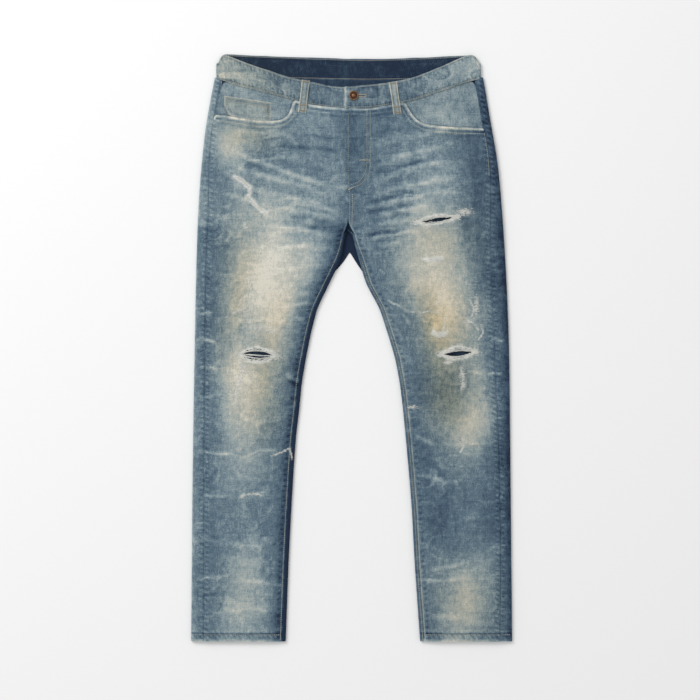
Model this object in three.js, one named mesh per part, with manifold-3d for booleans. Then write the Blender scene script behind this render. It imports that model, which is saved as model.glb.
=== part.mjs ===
// Five-pocket jeans laid flat with the front up, ripped at one thigh and at both knees.
// Millimetres. +Z is up, +Y runs from the hems to the waist, and the garment lies on the plane z = 0.
// "Right" and "left" are the wearer's, so the right leg lies on the -X side.
import * as THREE from "three";
import { mergeVertices } from "three/addons/utils/BufferGeometryUtils.js";
import Module from "manifold-3d";

const wasm = await Module();
wasm.setup();

// Driving dimensions
const cloth = 1.5; // wall of the leg panels and yokes
const hemCloth = 2.2; // wall where the hem is turned up
const trimCloth = 1.2; // wall of the pockets and of their facings
const bandCloth = 2.2; // the waistband is cloth twice over, with its stiffening
const gap = 0.3; // between neighbouring pieces
const foldRadius = 2.75; // outside radius of the side folds, so half of the height of a leg
const trimLift = trimCloth + gap; // how far the back pockets and loops hold the seat up
const hemY = -513.5;
const hemHeight = 14;
const bandFrontLow = 417; // where the waistband comes lowest, at centre front
const bandMiddle = 490; // its middle at the side folds
const centreX = -6; // the seams at centre front and centre back
const crotchTop = 215; // the inner folds of the legs start here
const crotchLow = 195; // and are whole here
const bandTopLift = bandCloth + gap; // the left end of the waistband rides over the right end
const rightBandEnd = 20;
const leftBandEnd = -10.5;
const bandLap = { high: 24, low: 62 }; // the lap comes down between these two distances in X
const flyLap = { edge: -8, under: 4, lift: cloth + gap, high: 5, low: 36, bottom: 272, whole: 286, full: 300 };
const facingDrop = 2 * foldRadius - cloth - gap - trimCloth; // underside of a facing, above the seat
const buttonAt = { x: 4, y: 439.5, radius: 8.5, height: 2.4, shank: 2.5 };
const yokeSide = 430;
const yokeCentre = 395;

const smooth = (value) => {
  const t = THREE.MathUtils.clamp(value, 0, 1);
  return t * t * (3 - 2 * t);
};
const { lerp } = THREE.MathUtils;
const steps = (count, from = 0, to = 1) => Array.from({ length: count + 1 }, (_, i) => lerp(from, to, i / count));

/** A smooth curve through [place, value] points, in rising order of place. */
function through(points) {
  const slope = (i) => {
    const before = points[Math.max(i - 1, 0)];
    const after = points[Math.min(i + 1, points.length - 1)];
    return (after[1] - before[1]) / (after[0] - before[0]);
  };
  return (place) => {
    const inside = THREE.MathUtils.clamp(place, points[0][0], points.at(-1)[0]);
    const i = Math.max(points.findIndex((point) => point[0] >= inside) - 1, 0);
    const [start, value] = points[i];
    const span = points[i + 1][0] - start;
    const t = (inside - start) / span;
    const rise = points[i + 1][1] - value;
    const cubic = span * (slope(i) + slope(i + 1)) - 2 * rise;
    const square = 3 * rise - span * (2 * slope(i) + slope(i + 1));
    return value + t * (span * slope(i) + t * (square + t * cubic));
  };
}

// Outlines of the two legs: X of the outer fold and of the inner fold by Y, and how far in from the
// outer fold the side seam lies on the front.
const right = {
  name: "right",
  sign: -1,
  outer: through([[-514, -280.5], [-197, -277.5], [13, -274], [153, -271], [235, -268], [309, -263],
    [384, -255], [431, -247], [470, -239], [514, -233]]),
  inner: through([[-514, -115], [-346, -108.5], [-162, -97.5], [-116, -92], [-55, -86], [4, -75],
    [41, -67.5], [71, -59], [101, -45.5], [136, -24], [176, -13.5], [212, -10.5]]),
  sideSeam: through([[-514, 22], [-144, 19.5], [167, 17], [235, 18], [346, 12], [514, 12]]),
};
const left = {
  name: "left",
  sign: 1,
  outer: through([[-514, 281], [-162, 277.5], [-25, 276], [76, 273], [178, 267.5], [311, 257],
    [360, 249.5], [407, 240.5], [435, 236.5], [472, 230], [514, 220.5]]),
  inner: through([[-514, 120], [-363, 109.5], [-284, 105.5], [-144, 93.5], [-66, 85], [-13, 75],
    [39, 58.5], [66, 50], [92, 37.5], [118, 22], [155, 12.5], [178, 5.5], [212, 1]]),
  sideSeam: through([[-514, 22], [-337, 19], [-162, 21], [-57, 25], [83, 27], [176, 25], [276, 17],
    [346, 13], [514, 12]]),
};

// Upper edge and seam of the waistband by X, on the front and on the back.
const frontBandTop = through([[-233, 513.5], [-221, 511.5], [-185, 498], [-148, 485.5], [-111, 473],
  [-71, 465], [-35, 457], [-6, 455.5], [30, 459.5], [64, 463], [95, 469], [120, 477], [139, 484.5],
  [179, 500.5], [208, 511.5], [221, 512.5]]);
const frontBandSeam = through([[-239, 471.5], [-203, 459.5], [-160, 449], [-123, 438.5], [-97, 432],
  [-72, 424], [-13, 417], [30, 417.5], [66, 423], [99, 430], [151, 448], [192, 460.5], [230, 472.5]]);
const backBandTop = through([[-233, 513.5], [-148, 510], [-34, 506], [41, 504.5], [155, 508.5], [221, 512.5]]);
const backBandSeam = through([[-239, 471.5], [-148, 470], [-34, 467], [41, 466], [155, 469], [230, 472.5]]);

// Heights: the legs lie on z = 0, and the seat lies on the back pockets and loops.
const base = (y) => trimLift * smooth((y - 150) / 65);
const top = (y) => base(y) + 2 * foldRadius;
const wall = (y) => (y < hemY + hemHeight ? hemCloth : cloth);
const roll = (y) => smooth((crotchTop - y) / (crotchTop - crotchLow)); // 1 where the inner fold is whole
const innerFlange = (y) => 4.5 * smooth((crotchLow - y) / 45); // from the inner fold to the inseam
const centreEdge = (leg) => centreX + (leg.sign * gap) / 2;

/** A closed sheet on a grid: point(column, row, face) is on the outer face 0 or the inner face 1. */
function sheet(columns, rows, point) {
  const vertices = [];
  for (const face of [0, 1]) {
    for (let c = 0; c < columns; c++) {
      for (let r = 0; r < rows; r++) vertices.push(...point(c, r, face));
    }
  }
  const at = (c, r, face) => (face * columns + c) * rows + r;
  const triangles = [];
  const quad = (a, b, c, d) => triangles.push(a, b, c, a, c, d);
  for (let c = 0; c < columns - 1; c++) {
    for (let r = 0; r < rows - 1; r++) {
      quad(at(c, r, 0), at(c + 1, r, 0), at(c + 1, r + 1, 0), at(c, r + 1, 0));
      quad(at(c, r, 1), at(c, r + 1, 1), at(c + 1, r + 1, 1), at(c + 1, r, 1));
    }
  }
  const rim = [];
  for (let c = 0; c < columns; c++) rim.push([c, 0]);
  for (let r = 1; r < rows; r++) rim.push([columns - 1, r]);
  for (let c = columns - 2; c >= 0; c--) rim.push([c, rows - 1]);
  for (let r = rows - 2; r > 0; r--) rim.push([0, r]);
  rim.forEach(([c, r], i) => {
    const [nextC, nextR] = rim[(i + 1) % rim.length];
    quad(at(c, r, 0), at(c, r, 1), at(nextC, nextR, 1), at(nextC, nextR, 0));
  });
  const geometry = new THREE.BufferGeometry();
  geometry.setAttribute("position", new THREE.Float32BufferAttribute(vertices, 3));
  geometry.setIndex(triangles);
  return facingOut(geometry);
}

/** Turns the triangles of a closed geometry over where it is inside out. */
function facingOut(geometry) {
  const [a, b, c] = [new THREE.Vector3(), new THREE.Vector3(), new THREE.Vector3()];
  const { position } = geometry.attributes;
  const index = geometry.index.array;
  let volume = 0;
  for (let i = 0; i < index.length; i += 3) {
    a.fromBufferAttribute(position, index[i]);
    b.fromBufferAttribute(position, index[i + 1]);
    c.fromBufferAttribute(position, index[i + 2]);
    volume += a.dot(b.cross(c));
  }
  if (volume < 0) geometry.setIndex(Array.from(index).reverse());
  return geometry;
}

/** A sheet from columns, each with at(y, depth) giving [x, z] and rows giving its list of Y. */
function sheetOf(columns, wallAt = wall) {
  return sheet(columns.length, columns[0].rows.length, (c, r, face) => {
    const y = columns[c].rows[r];
    const [x, z] = columns[c].at(y, face * wallAt(y));
    return [x, y, z];
  });
}

/** A plate between two heights with this outline of [x, y] points. */
function plate(outline, low, high) {
  const shape = new THREE.Shape(outline.map(([x, y]) => new THREE.Vector2(x, y)));
  return new THREE.ExtrudeGeometry(shape, { depth: high - low, bevelEnabled: false }).translate(0, 0, low);
}

function manifoldOf(geometry) {
  const bare = geometry.clone();
  bare.deleteAttribute("normal");
  bare.deleteAttribute("uv");
  const merged = mergeVertices(bare, 1e-4);
  return new wasm.Manifold(new wasm.Mesh({
    numProp: 3,
    vertProperties: merged.attributes.position.array,
    triVerts: new Uint32Array(merged.index.array),
  }));
}

/** The geometry with each cutter taken out of it. */
function cutBy(geometry, cutters) {
  const solid = cutters.reduce((rest, cutter) => rest.subtract(manifoldOf(cutter)), manifoldOf(geometry));
  const { vertProperties, triVerts } = solid.getMesh();
  const cut = new THREE.BufferGeometry();
  cut.setAttribute("position", new THREE.BufferAttribute(vertProperties, 3));
  cut.setIndex(new THREE.BufferAttribute(triVerts, 1));
  return cut;
}

const denim = (name, color) => new THREE.MeshStandardMaterial({ name, color, roughness: 0.92, metalness: 0 });
const materials = {
  front: denim("washed denim", 0x8fa0a8),
  back: denim("darker denim", 0x566f86),
  band: denim("waistband denim", 0x75899a),
  trim: denim("pocket and loop denim", 0x7c8f9b),
  metal: new THREE.MeshStandardMaterial({ name: "aged copper", color: 0x6a4a35, roughness: 0.45, metalness: 1 }),
};

const jeans = new THREE.Group();
function add(name, geometry, material) {
  const mesh = new THREE.Mesh(geometry, material);
  mesh.name = name;
  jeans.add(mesh);
  return mesh;
}

// Columns of a back panel and its yoke, from the side seam on the front, round the outer fold, across
// the underside, and on the leg round the inner fold to the inseam.
const onFlange = (leg, share) => (y, depth) => [
  leg.outer(y) - leg.sign * lerp(leg.sideSeam(y), foldRadius, share),
  top(y) - depth,
];
const onOuterFold = (leg, angle) => (y, depth) => [
  leg.outer(y) - leg.sign * (foldRadius - (foldRadius - depth) * Math.sin(angle)),
  base(y) + foldRadius + (foldRadius - depth) * Math.cos(angle),
];
const turnStart = (leg, y) => lerp(centreEdge(leg), leg.inner(y) + leg.sign * foldRadius, roll(y));
const turnTail = (y) => 4 * (1 - roll(y)); // flat cloth that the last columns take up above the crotch
const onUnderside = (leg, share) => (y, depth) => [
  lerp(leg.outer(y) - leg.sign * foldRadius, turnStart(leg, y) + leg.sign * turnTail(y), share),
  base(y) + depth,
];
const onTurn = (leg, share) => (y, depth) => {
  const arc = roll(y) * Math.PI * foldRadius;
  const along = share * (turnTail(y) + arc + innerFlange(y)) - turnTail(y);
  const angle = THREE.MathUtils.clamp(along, 0, arc) / foldRadius;
  const past = Math.max(along - arc, 0);
  const inward = Math.min(along, 0) + (foldRadius - depth) * Math.sin(angle) + past * Math.cos(angle);
  return [
    turnStart(leg, y) - leg.sign * inward,
    base(y) + foldRadius - (foldRadius - depth) * Math.cos(angle) + past * Math.sin(angle),
  ];
};

/** Y of the yoke seam on a column: from the side down to a point at centre back. */
const yokeSeam = (leg, at) => {
  const middle = (yokeSide + yokeCentre) / 2;
  const share = (at(middle, 0)[0] - centreX) / (leg.outer(middle) - centreX);
  return lerp(yokeCentre, yokeSide, share);
};

// Rows that the front and back panels share, so that their seams run alongside each other.
const panelRows = [hemY, hemY + hemHeight - 0.5, hemY + hemHeight + 0.5, ...steps(14, -460, 156),
  176, crotchLow, 200, 205, 210, crotchTop, 240, flyLap.bottom, flyLap.whole, flyLap.full, 330, 360, 385];

function backPanel(leg) {
  const places = [
    ...steps(2).map((share) => onFlange(leg, share)),
    ...steps(5, 0, Math.PI).slice(1).map((angle) => onOuterFold(leg, angle)),
    ...steps(4).slice(1).map((share) => onUnderside(leg, share)),
    ...steps(7).slice(1).map((share) => onTurn(leg, share)),
  ];
  const columns = places.map((at) => {
    const seam = yokeSeam(leg, at) - gap / 2;
    return { at, rows: [...panelRows, seam] };
  });
  return sheetOf(columns);
}

function yoke(leg) {
  const onFront = [
    ...steps(2).map((share) => onFlange(leg, share)),
    ...steps(5, 0, Math.PI).slice(1, -1).map((angle) => onOuterFold(leg, angle)),
  ];
  const onBack = [onOuterFold(leg, Math.PI), ...steps(6).slice(1).map((share) => onUnderside(leg, share)),
    onTurn(leg, 1)];
  const column = (bandSeam) => (at) => {
    const [x] = at(bandMiddle, 0);
    return { at, rows: steps(2, yokeSeam(leg, at) + gap / 2, bandSeam(x) - gap / 2) };
  };
  return sheetOf([...onFront.map(column(frontBandSeam)), ...onBack.map(column(backBandSeam))]);
}

// Columns of the waistband's front, from the side fold to the band's end, and what they clear below.
const bandLift = (x) => bandTopLift * smooth((bandLap.low - x) / (bandLap.low - bandLap.high));
const bandEnd = { right: rightBandEnd, left: leftBandEnd };
const bandColumn = (seam, edge) => (at) => {
  const [x] = at(bandMiddle, 0);
  return { at, rows: steps(2, seam(x) + gap / 2, edge(x)) };
};
const bandFront = (leg) => steps(14).map((share) => bandColumn(frontBandSeam, frontBandTop)((y, depth) => {
  const x = lerp(leg.outer(y) - leg.sign * foldRadius, bandEnd[leg.name], share);
  const lift = leg === left ? bandLift(x) : 0;
  return [x, top(y) + lift - depth];
}));
function bandCutter(leg) {
  const seam = bandFront(leg).map(({ at, rows: [low] }) => [at(low, 0)[0], low - gap]);
  const [side, [endX]] = [leg.outer(bandFrontLow), seam.at(-1)];
  return plate([[side, seam[0][1]], ...seam, [endX, 560], [side, 560]], 2, 12);
}

// Front panels. At the fly the left one laps over the right one.
const flyTurn = (y) => smooth((y - flyLap.whole) / (flyLap.full - flyLap.whole));
const flyEdge = { right: flyLap.under, left: flyLap.edge };
function frontInnerEdge(leg, y) {
  const onLeg = leg.inner(y) + leg.sign * (foldRadius + innerFlange(y) + gap);
  const onSeat = lerp(centreEdge(leg), flyEdge[leg.name], flyTurn(y));
  return lerp(onSeat, onLeg, smooth((crotchTop - 3 - y) / 9));
}
const flyLift = (x, y) => flyLap.lift
  * smooth((flyLap.low - x) / (flyLap.low - flyLap.high))
  * smooth((y - flyLap.bottom) / (flyLap.whole - flyLap.bottom));
const onFront = (leg, share) => (y, depth) => {
  const seam = leg.outer(y) - leg.sign * (leg.sideSeam(y) + gap);
  const x = lerp(seam, frontInnerEdge(leg, y), share);
  const lift = leg === left ? flyLift(x, y) : 0;
  return [x, top(y) + lift - depth];
};

// Pocket mouths, from the side seam to the waistband, and the area that each one bares.
const pocketMouth = {
  right: [[-260, 406], [-221, 404], [-197, 399.5], [-165, 395], [-141, 394], [-125, 395.5], [-114, 401],
    [-106, 411], [-102.5, 422], [-101.5, 434]],
  left: [[250, 381], [216, 382], [181, 383], [151, 385.5], [129, 388.5], [115, 395], [105, 406],
    [97, 419], [92, 432]],
};
const pocketCutter = (leg) => {
  const mouth = pocketMouth[leg.name];
  const [[startX], [endX]] = [mouth[0], mouth.at(-1)];
  return plate([...mouth, [endX, 500], [startX, 500]], 4, 9);
};

/** A pointed oval hole, as a cutter through the front. */
function ripCutter({ x, y, length, height, tilt }) {
  const half = length / 2;
  const rim = steps(10, -1, 1).map((t) => [t * half, (height / 2) * (1 - t * t)]);
  const outline = [...rim, ...rim.slice(1, -1).reverse().map(([u, v]) => [u, -v])];
  return plate(outline, 3.4, 9).rotateZ(THREE.MathUtils.degToRad(tilt)).translate(x, y, 0);
}
const rips = {
  right: [{ x: -164, y: -13, length: 62, height: 22, tilt: -3 }],
  left: [
    { x: 149, y: 223, length: 68, height: 12, tilt: 8 },
    { x: 186, y: -10, length: 58, height: 18, tilt: 5 },
  ],
};

function frontPanel(leg) {
  const shares = [...steps(6, 0, 0.85), 0.9, 0.95, 1];
  const columns = shares.map((share) => {
    const at = onFront(leg, share);
    const past = frontBandSeam(at(bandFrontLow, 0)[0]) + 8;
    return { at, rows: [...panelRows, past] };
  });
  return cutBy(sheetOf(columns), [bandCutter(leg), pocketCutter(leg), ...rips[leg.name].map(ripCutter)]);
}

/** The facing behind a pocket mouth, from the side seam to just past the mouth and under the front. */
function pocketFacing(leg) {
  const mouthEnd = pocketMouth[leg.name].at(-1)[0] - leg.sign * 14;
  const lowest = Math.min(...pocketMouth[leg.name].map(([, y]) => y)) - 25;
  const sideX = (y) => leg.outer(y) - leg.sign * (leg.sideSeam(y) + gap);
  const outline = [[sideX(480), 480], [mouthEnd, 480], [mouthEnd, lowest + 20], [mouthEnd + leg.sign * 25, lowest],
    [sideX(lowest), lowest], [sideX(420), 420]];
  const under = trimLift + facingDrop;
  return cutBy(plate(outline, under, under + trimCloth), [bandCutter(leg)]);
}

/** The coin pocket lies on the right facing, and its foot goes behind the pocket mouth. */
function coinPocket() {
  const foot = pocketMouth.right.filter(([x]) => x > -225 && x < -140).map(([x, y]) => [x, y + 1]);
  const under = trimLift + facingDrop + trimCloth + gap;
  return plate([[-222, 440], ...foot, [-144, 395.5], [-140, 428]], under, under + trimCloth);
}

// The waistband as a ring of columns, from its right end under the lap to its left end on top.
const onBandBack = (share) => (y, depth) => [
  lerp(right.outer(y) + foldRadius, left.outer(y) - foldRadius, share),
  base(y) + depth,
];

function waistband() {
  const bandFold = (leg) => steps(5, 0, Math.PI).slice(1, -1).map((angle) => onOuterFold(leg, angle))
    .map(bandColumn(frontBandSeam, frontBandTop));
  const ring = sheetOf([
    ...bandFront(right).toReversed(),
    ...bandFold(right),
    ...steps(12).map(onBandBack).map(bandColumn(backBandSeam, backBandTop)),
    ...bandFold(left).toReversed(),
    ...bandFront(left),
  ], () => bandCloth);
  return cutBy(ring, buttonhole());
}

/** Keyhole buttonhole: a round eye for the shank and a slit away from the edge. */
function buttonhole() {
  const low = top(buttonAt.y) + gap / 2;
  const eye = new THREE.CylinderGeometry(buttonAt.shank + 0.6, buttonAt.shank + 0.6, 6, 16)
    .rotateX(Math.PI / 2)
    .translate(buttonAt.x, buttonAt.y, low + 3);
  const { x, y } = buttonAt;
  return [eye, plate([[x, y - 0.8], [x + 18, y - 0.8], [x + 18, y + 0.8], [x, y + 0.8]], low, low + 6)];
}

/** Tack button: a domed head with a sunk rim on a shank that stands on the right end of the band. */
function button() {
  const foot = top(buttonAt.y) + gap;
  const head = top(buttonAt.y) + bandTopLift + gap;
  const { radius, height, shank } = buttonAt;
  const profile = [[0, foot], [shank, foot], [shank, head], [radius - 0.8, head], [radius, head + 0.9],
    [radius - 0.4, head + height], [radius - 1.6, head + height], [radius - 2.2, head + height - 0.6],
    [2.4, head + height - 0.6], [1.6, head + height - 0.1], [0, head + height]];
  return new THREE.LatheGeometry(profile.map(([r, z]) => new THREE.Vector2(r, z)), 24)
    .rotateX(Math.PI / 2)
    .translate(buttonAt.x, buttonAt.y, 0);
}

/** A front belt loop: a strip that bows up between its two sewn ends, on the waistband and below it. */
function frontLoop([topX, topY], [lowX, lowY], surface) {
  const width = 14;
  const thick = 1.6;
  const bow = 2.2;
  const length = Math.hypot(topX - lowX, topY - lowY);
  const rise = (t) => surface + gap + bow * smooth(Math.min(t, 1 - t) * 4);
  const under = steps(12).map((t) => new THREE.Vector2(t * length, rise(t)));
  const over = steps(12, 1, 0).map((t) => new THREE.Vector2(t * length, rise(t) + thick));
  return new THREE.ExtrudeGeometry(new THREE.Shape([...under, ...over]), { depth: width, bevelEnabled: false })
    .translate(0, 0, -width / 2)
    .rotateX(Math.PI / 2)
    .rotateZ(Math.atan2(topY - lowY, topX - lowX))
    .translate(lowX, lowY, 0);
}

/** A back pocket, flat under the seat: straight mouth, sides drawn in, and a pointed foot. */
function backPocket(leg) {
  const middle = centreX + leg.sign * 111;
  const outline = [[-73, 0], [-68, -132], [-62, -142], [0, -163], [62, -142], [68, -132], [73, 0]];
  return plate(outline.map(([u, v]) => [middle + u, 388 + v + leg.sign * u * 0.05]), 0, trimCloth);
}

const backLoop = (x) => {
  const high = backBandTop(x);
  const low = backBandSeam(x) - 12;
  return new THREE.BoxGeometry(14, high - low, trimCloth).translate(x, (high + low) / 2, trimCloth / 2);
};

for (const leg of [right, left]) {
  add(`front_${leg.name}`, frontPanel(leg), materials.front);
  add(`back_${leg.name}`, backPanel(leg), materials.back);
  add(`yoke_${leg.name}`, yoke(leg), materials.back);
  add(`pocket_facing_${leg.name}`, pocketFacing(leg), materials.trim);
  add(`back_pocket_${leg.name}`, backPocket(leg), materials.back);
  add(`belt_loop_back_${leg.name}`, backLoop(centreX + leg.sign * 150), materials.trim);
}
add("waistband", waistband(), materials.band);
add("coin_pocket", coinPocket(), materials.trim);
add("belt_loop_front_right", frontLoop([-79.5, 467], [-86.5, 410], top(440)), materials.trim);
add("belt_loop_front_left", frontLoop([72, 464], [80.5, 407], top(440)), materials.trim);
add("belt_loop_centre_back", backLoop(centreX), materials.trim);
add("button", button(), materials.metal);

export default jeans;
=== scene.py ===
"""Ripped, washed jeans laid flat with the front up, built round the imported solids."""

import math

import bmesh
import bpy
import numpy as np
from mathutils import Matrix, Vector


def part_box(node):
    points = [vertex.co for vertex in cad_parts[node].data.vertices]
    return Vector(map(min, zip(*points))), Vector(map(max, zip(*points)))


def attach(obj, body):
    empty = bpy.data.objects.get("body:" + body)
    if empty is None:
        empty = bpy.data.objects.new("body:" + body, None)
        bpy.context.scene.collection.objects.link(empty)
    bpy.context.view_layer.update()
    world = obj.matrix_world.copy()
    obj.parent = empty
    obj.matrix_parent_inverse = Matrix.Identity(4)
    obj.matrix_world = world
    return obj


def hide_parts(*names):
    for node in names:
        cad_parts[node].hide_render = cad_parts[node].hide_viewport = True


bl_info = {
    "name": "Ripped jeans, laid flat",
    "version": (1, 0, 0),
    "blender": (4, 5, 0),
    "location": "3D View > Sidebar > Jeans",
    "description": "Builds washed and ripped denim jeans piece by piece on their packed solids",
    "category": "Add Mesh",
}

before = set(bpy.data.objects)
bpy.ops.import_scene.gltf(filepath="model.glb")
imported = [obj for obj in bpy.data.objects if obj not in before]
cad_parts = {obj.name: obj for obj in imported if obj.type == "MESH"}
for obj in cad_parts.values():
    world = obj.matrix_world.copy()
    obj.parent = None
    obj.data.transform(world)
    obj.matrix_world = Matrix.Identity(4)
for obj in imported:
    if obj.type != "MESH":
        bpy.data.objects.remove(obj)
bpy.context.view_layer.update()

# Lengths here are in millimetres and become metres when a mesh is made. +Y runs from the hems to
# the waist, +Z is up out of the front, and "right" is the wearer's right leg, on the -X side.
MM = 0.001
TOP, UNDER = 0.0, 1.0
TAU = 2 * math.pi


def smooth(t):
    t = np.clip(t, 0.0, 1.0)
    return t * t * (3 - 2 * t)


def bell(t):
    return np.exp(-t * t)


def mix(a, b, t):
    return a + (b - a) * t


def noise(x, y, cell, seed, stretch=1.0):
    """Soft noise from -1 to 1 in bumps about one cell wide, stretch cells long in Y."""
    table = np.random.default_rng(seed).uniform(-1, 1, (97, 97))
    u, v = np.asarray(x) / cell, np.asarray(y) / (cell * stretch)
    i, j = np.floor(u).astype(int), np.floor(v).astype(int)
    s, t = smooth(u - i), smooth(v - j)
    low = mix(table[i % 97, j % 97], table[(i + 1) % 97, j % 97], s)
    high = mix(table[i % 97, (j + 1) % 97], table[(i + 1) % 97, (j + 1) % 97], s)
    return mix(low, high, t)


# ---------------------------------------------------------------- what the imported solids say
def edge_ends(node):
    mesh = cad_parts[node].data
    points = np.empty(len(mesh.vertices) * 3)
    mesh.vertices.foreach_get("co", points)
    edges = np.empty(len(mesh.edges) * 2, int)
    mesh.edges.foreach_get("vertices", edges)
    points = points.reshape(-1, 3) / MM
    return points[edges[0::2]], points[edges[1::2]]


def reach(node, along, of, places, low=-9.0, high=99.0):
    """Lowest and highest coordinate `of` where the node crosses each place on axis `along`.

    Only crossings at a height between low and high count, and nan means that there is none."""
    start, end = edge_ends(node)
    found = np.full((2, len(places)), np.nan)
    run = end[:, along] - start[:, along]
    run = np.where(np.abs(run) < 1e-9, 1e-9, run)
    for i, place in enumerate(places):
        t = (place - start[:, along]) / run
        hit = (t >= 0) & (t <= 1)
        points = start[hit] + (end[hit] - start[hit]) * t[hit, None]
        points = points[(points[:, 2] >= low) & (points[:, 2] <= high)]
        if len(points):
            found[:, i] = points[:, of].min(), points[:, of].max()
    return found


def box(node):
    return np.array([list(corner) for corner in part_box(node)]) / MM


def filled(values):
    """The row with its gaps closed from their neighbours."""
    known = np.flatnonzero(~np.isnan(values))
    return np.interp(np.arange(len(values)), known, values[known])


def softened(values, reach_in_steps):
    """The row with the corners of its facets rounded off."""
    offsets = np.arange(-3 * reach_in_steps, 3 * reach_in_steps + 1)
    weights = bell(offsets / (1.4 * reach_in_steps))
    padded = np.pad(values, 3 * reach_in_steps, mode="reflect", reflect_type="odd")
    return np.convolve(padded, weights / weights.sum(), mode="valid")


HEM = box("back_right")[0][1]
WAIST = box("waistband")[1][1]
SEAT_LIFT = box("waistband")[0][2]
LEG_HEIGHT = box("back_right")[1][2] - SEAT_LIFT
MIDDLE_Z = SEAT_LIFT + LEG_HEIGHT / 2
CENTRE = box("belt_loop_centre_back")[:, 0].mean()
LEVELS = np.arange(HEM, WAIST + 1, 2.0)
CROTCH_TOP, CROTCH_LOW = 215.0, 195.0
LIFTS = filled(reach("back_right", 1, 2, LEVELS)[0])


def lift(y):
    """Height of the underside: the seat lies on the back pockets and loops."""
    return np.interp(y, LEVELS, LIFTS)


class Leg:
    """The outlines of one side of the jeans as smooth functions of Y."""

    def __init__(self, name, sign):
        self.name, self.sign = name, sign
        self.rows = {
            "outer": self.read(("back", "yoke", "waistband"), outward=True),
            "inner": self.read(("back", "yoke"), outward=False),
            "seam": self.read(("front", "pocket_facing"), outward=True, low=MIDDLE_Z - 1.5),
            "inseam": self.read(("front",), outward=False),
        }
        for line, softness in (("outer", 6), ("seam", 6), ("inner", 4), ("inseam", 4)):
            self.rows[line] = softened(self.rows[line], softness)

    def read(self, kinds, outward, low=-9.0):
        found = []
        for kind in kinds:
            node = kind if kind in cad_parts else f"{kind}_{self.name}"
            row = reach(node, 1, 0, LEVELS, low)[1 if (self.sign > 0) == outward else 0]
            far = np.nan_to_num(row * self.sign) > 150
            found.append(np.where(far | (not outward), row, np.nan))
        pick = np.fmax if (self.sign > 0) == outward else np.fmin
        return filled(pick.reduce(found))

    def at(self, line, y):
        return np.interp(y, LEVELS, self.rows[line])

    def share(self, x, y):
        """0 at the outer fold and 1 at the inner fold or the centre seam."""
        outer, inner = self.at("outer", y), self.at("inner", y)
        return (x - outer) / (inner - outer)


RIGHT, LEFT = Leg("right", -1), Leg("left", 1)
LEGS = (RIGHT, LEFT)


def upper_edge(leg):
    """The top of a front panel, along the pocket mouth and the waistband, as points by X."""
    low, high = sorted((leg.at("seam", 400.0), leg.at("inseam", 400.0)))
    places = np.arange(low + 0.3, high - 0.2, 0.75)
    tops = reach(f"front_{leg.name}", 0, 1, places, MIDDLE_Z + 0.5)[1]
    return np.column_stack([places, filled(tops)])


def rims(node):
    """Outlines of the holes that go through a panel, each a closed row of points."""
    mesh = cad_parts[node].data
    spots = np.array([vertex.co[:] for vertex in mesh.vertices]) / MM
    keys = [tuple(spot) for spot in np.round(spots, 2)]
    uses = {}
    for face in mesh.polygons:
        if face.normal.z > 0.9:
            for a, b in face.edge_keys:
                pair = frozenset((keys[a], keys[b]))
                uses[pair] = uses.get(pair, 0) + 1
    beside = {}
    for pair, count in uses.items():
        if count == 1 and len(pair) == 2:
            a, b = pair
            beside.setdefault(a, []).append(b)
            beside.setdefault(b, []).append(a)
    loops = []
    while beside:
        here = min(beside)
        loop = []
        while here in beside:
            loop.append(here)
            onward = [other for other in beside.pop(here) if other in beside]
            here = onward[0] if onward else None
        points = np.array(loop)[:, :2]
        if 40 < np.ptp(points[:, 0]) < 100 and np.ptp(points[:, 1]) < 60:
            loops.append(points)
    return sorted(loops, key=lambda points: -points[:, 1].mean())


class Rip:
    """A worn-through hole: its middle, half length, half height and tilt."""

    def __init__(self, rim):
        self.middle = (rim.min(0) + rim.max(0)) / 2
        left, right = rim[rim[:, 0].argmin()], rim[rim[:, 0].argmax()]
        self.half = np.linalg.norm(right - left) / 2
        self.tilt = math.atan2(right[1] - left[1], right[0] - left[0])
        across = (rim - self.middle) @ [-math.sin(self.tilt), math.cos(self.tilt)]
        self.rise = np.abs(across).max()

    def local(self, x, y):
        """Coordinates along and across the hole, 1 at its ends and at its widest."""
        dx, dy = x - self.middle[0], y - self.middle[1]
        c, s = math.cos(self.tilt), math.sin(self.tilt)
        return (dx * c + dy * s) / self.half, (dy * c - dx * s) / self.rise

    def place(self, u, v):
        c, s = math.cos(self.tilt), math.sin(self.tilt)
        dx, dy = u * self.half, v * self.rise
        return self.middle[0] + dx * c - dy * s, self.middle[1] + dx * s + dy * c

    def outside(self, x, y):
        """Distance to the rim, below zero in the hole, with a ragged edge."""
        u, v = self.local(x, y)
        slope = 2 * u * self.rise / self.half
        lens = (np.abs(v) - 1.08 * (1 - u * u)) * self.rise / np.sqrt(1 + slope**2)
        ragged = 1.3 * noise(x, y, 4.5, 11) + 0.7 * noise(x, y, 1.8, 12)
        return lens + ragged


RIPS = {leg.name: [Rip(rim) for rim in rims(f"front_{leg.name}")] for leg in LEGS}

# Narrow frayed slits: the leg, the points along the slit, and its half width.
SLITS = (
    ("right", ((-204, 298), (-190, 291), (-178, 278), (-179, 264)), 1.0),
    ("right", ((-180, 262), (-168, 248), (-158, 240), (-147, 235)), 0.8),
    ("left", ((126, 154), (141, 153), (158, 157)), 0.7),
    ("left", ((144, 27), (152, 23), (161, 24)), 0.9),
)
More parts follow.
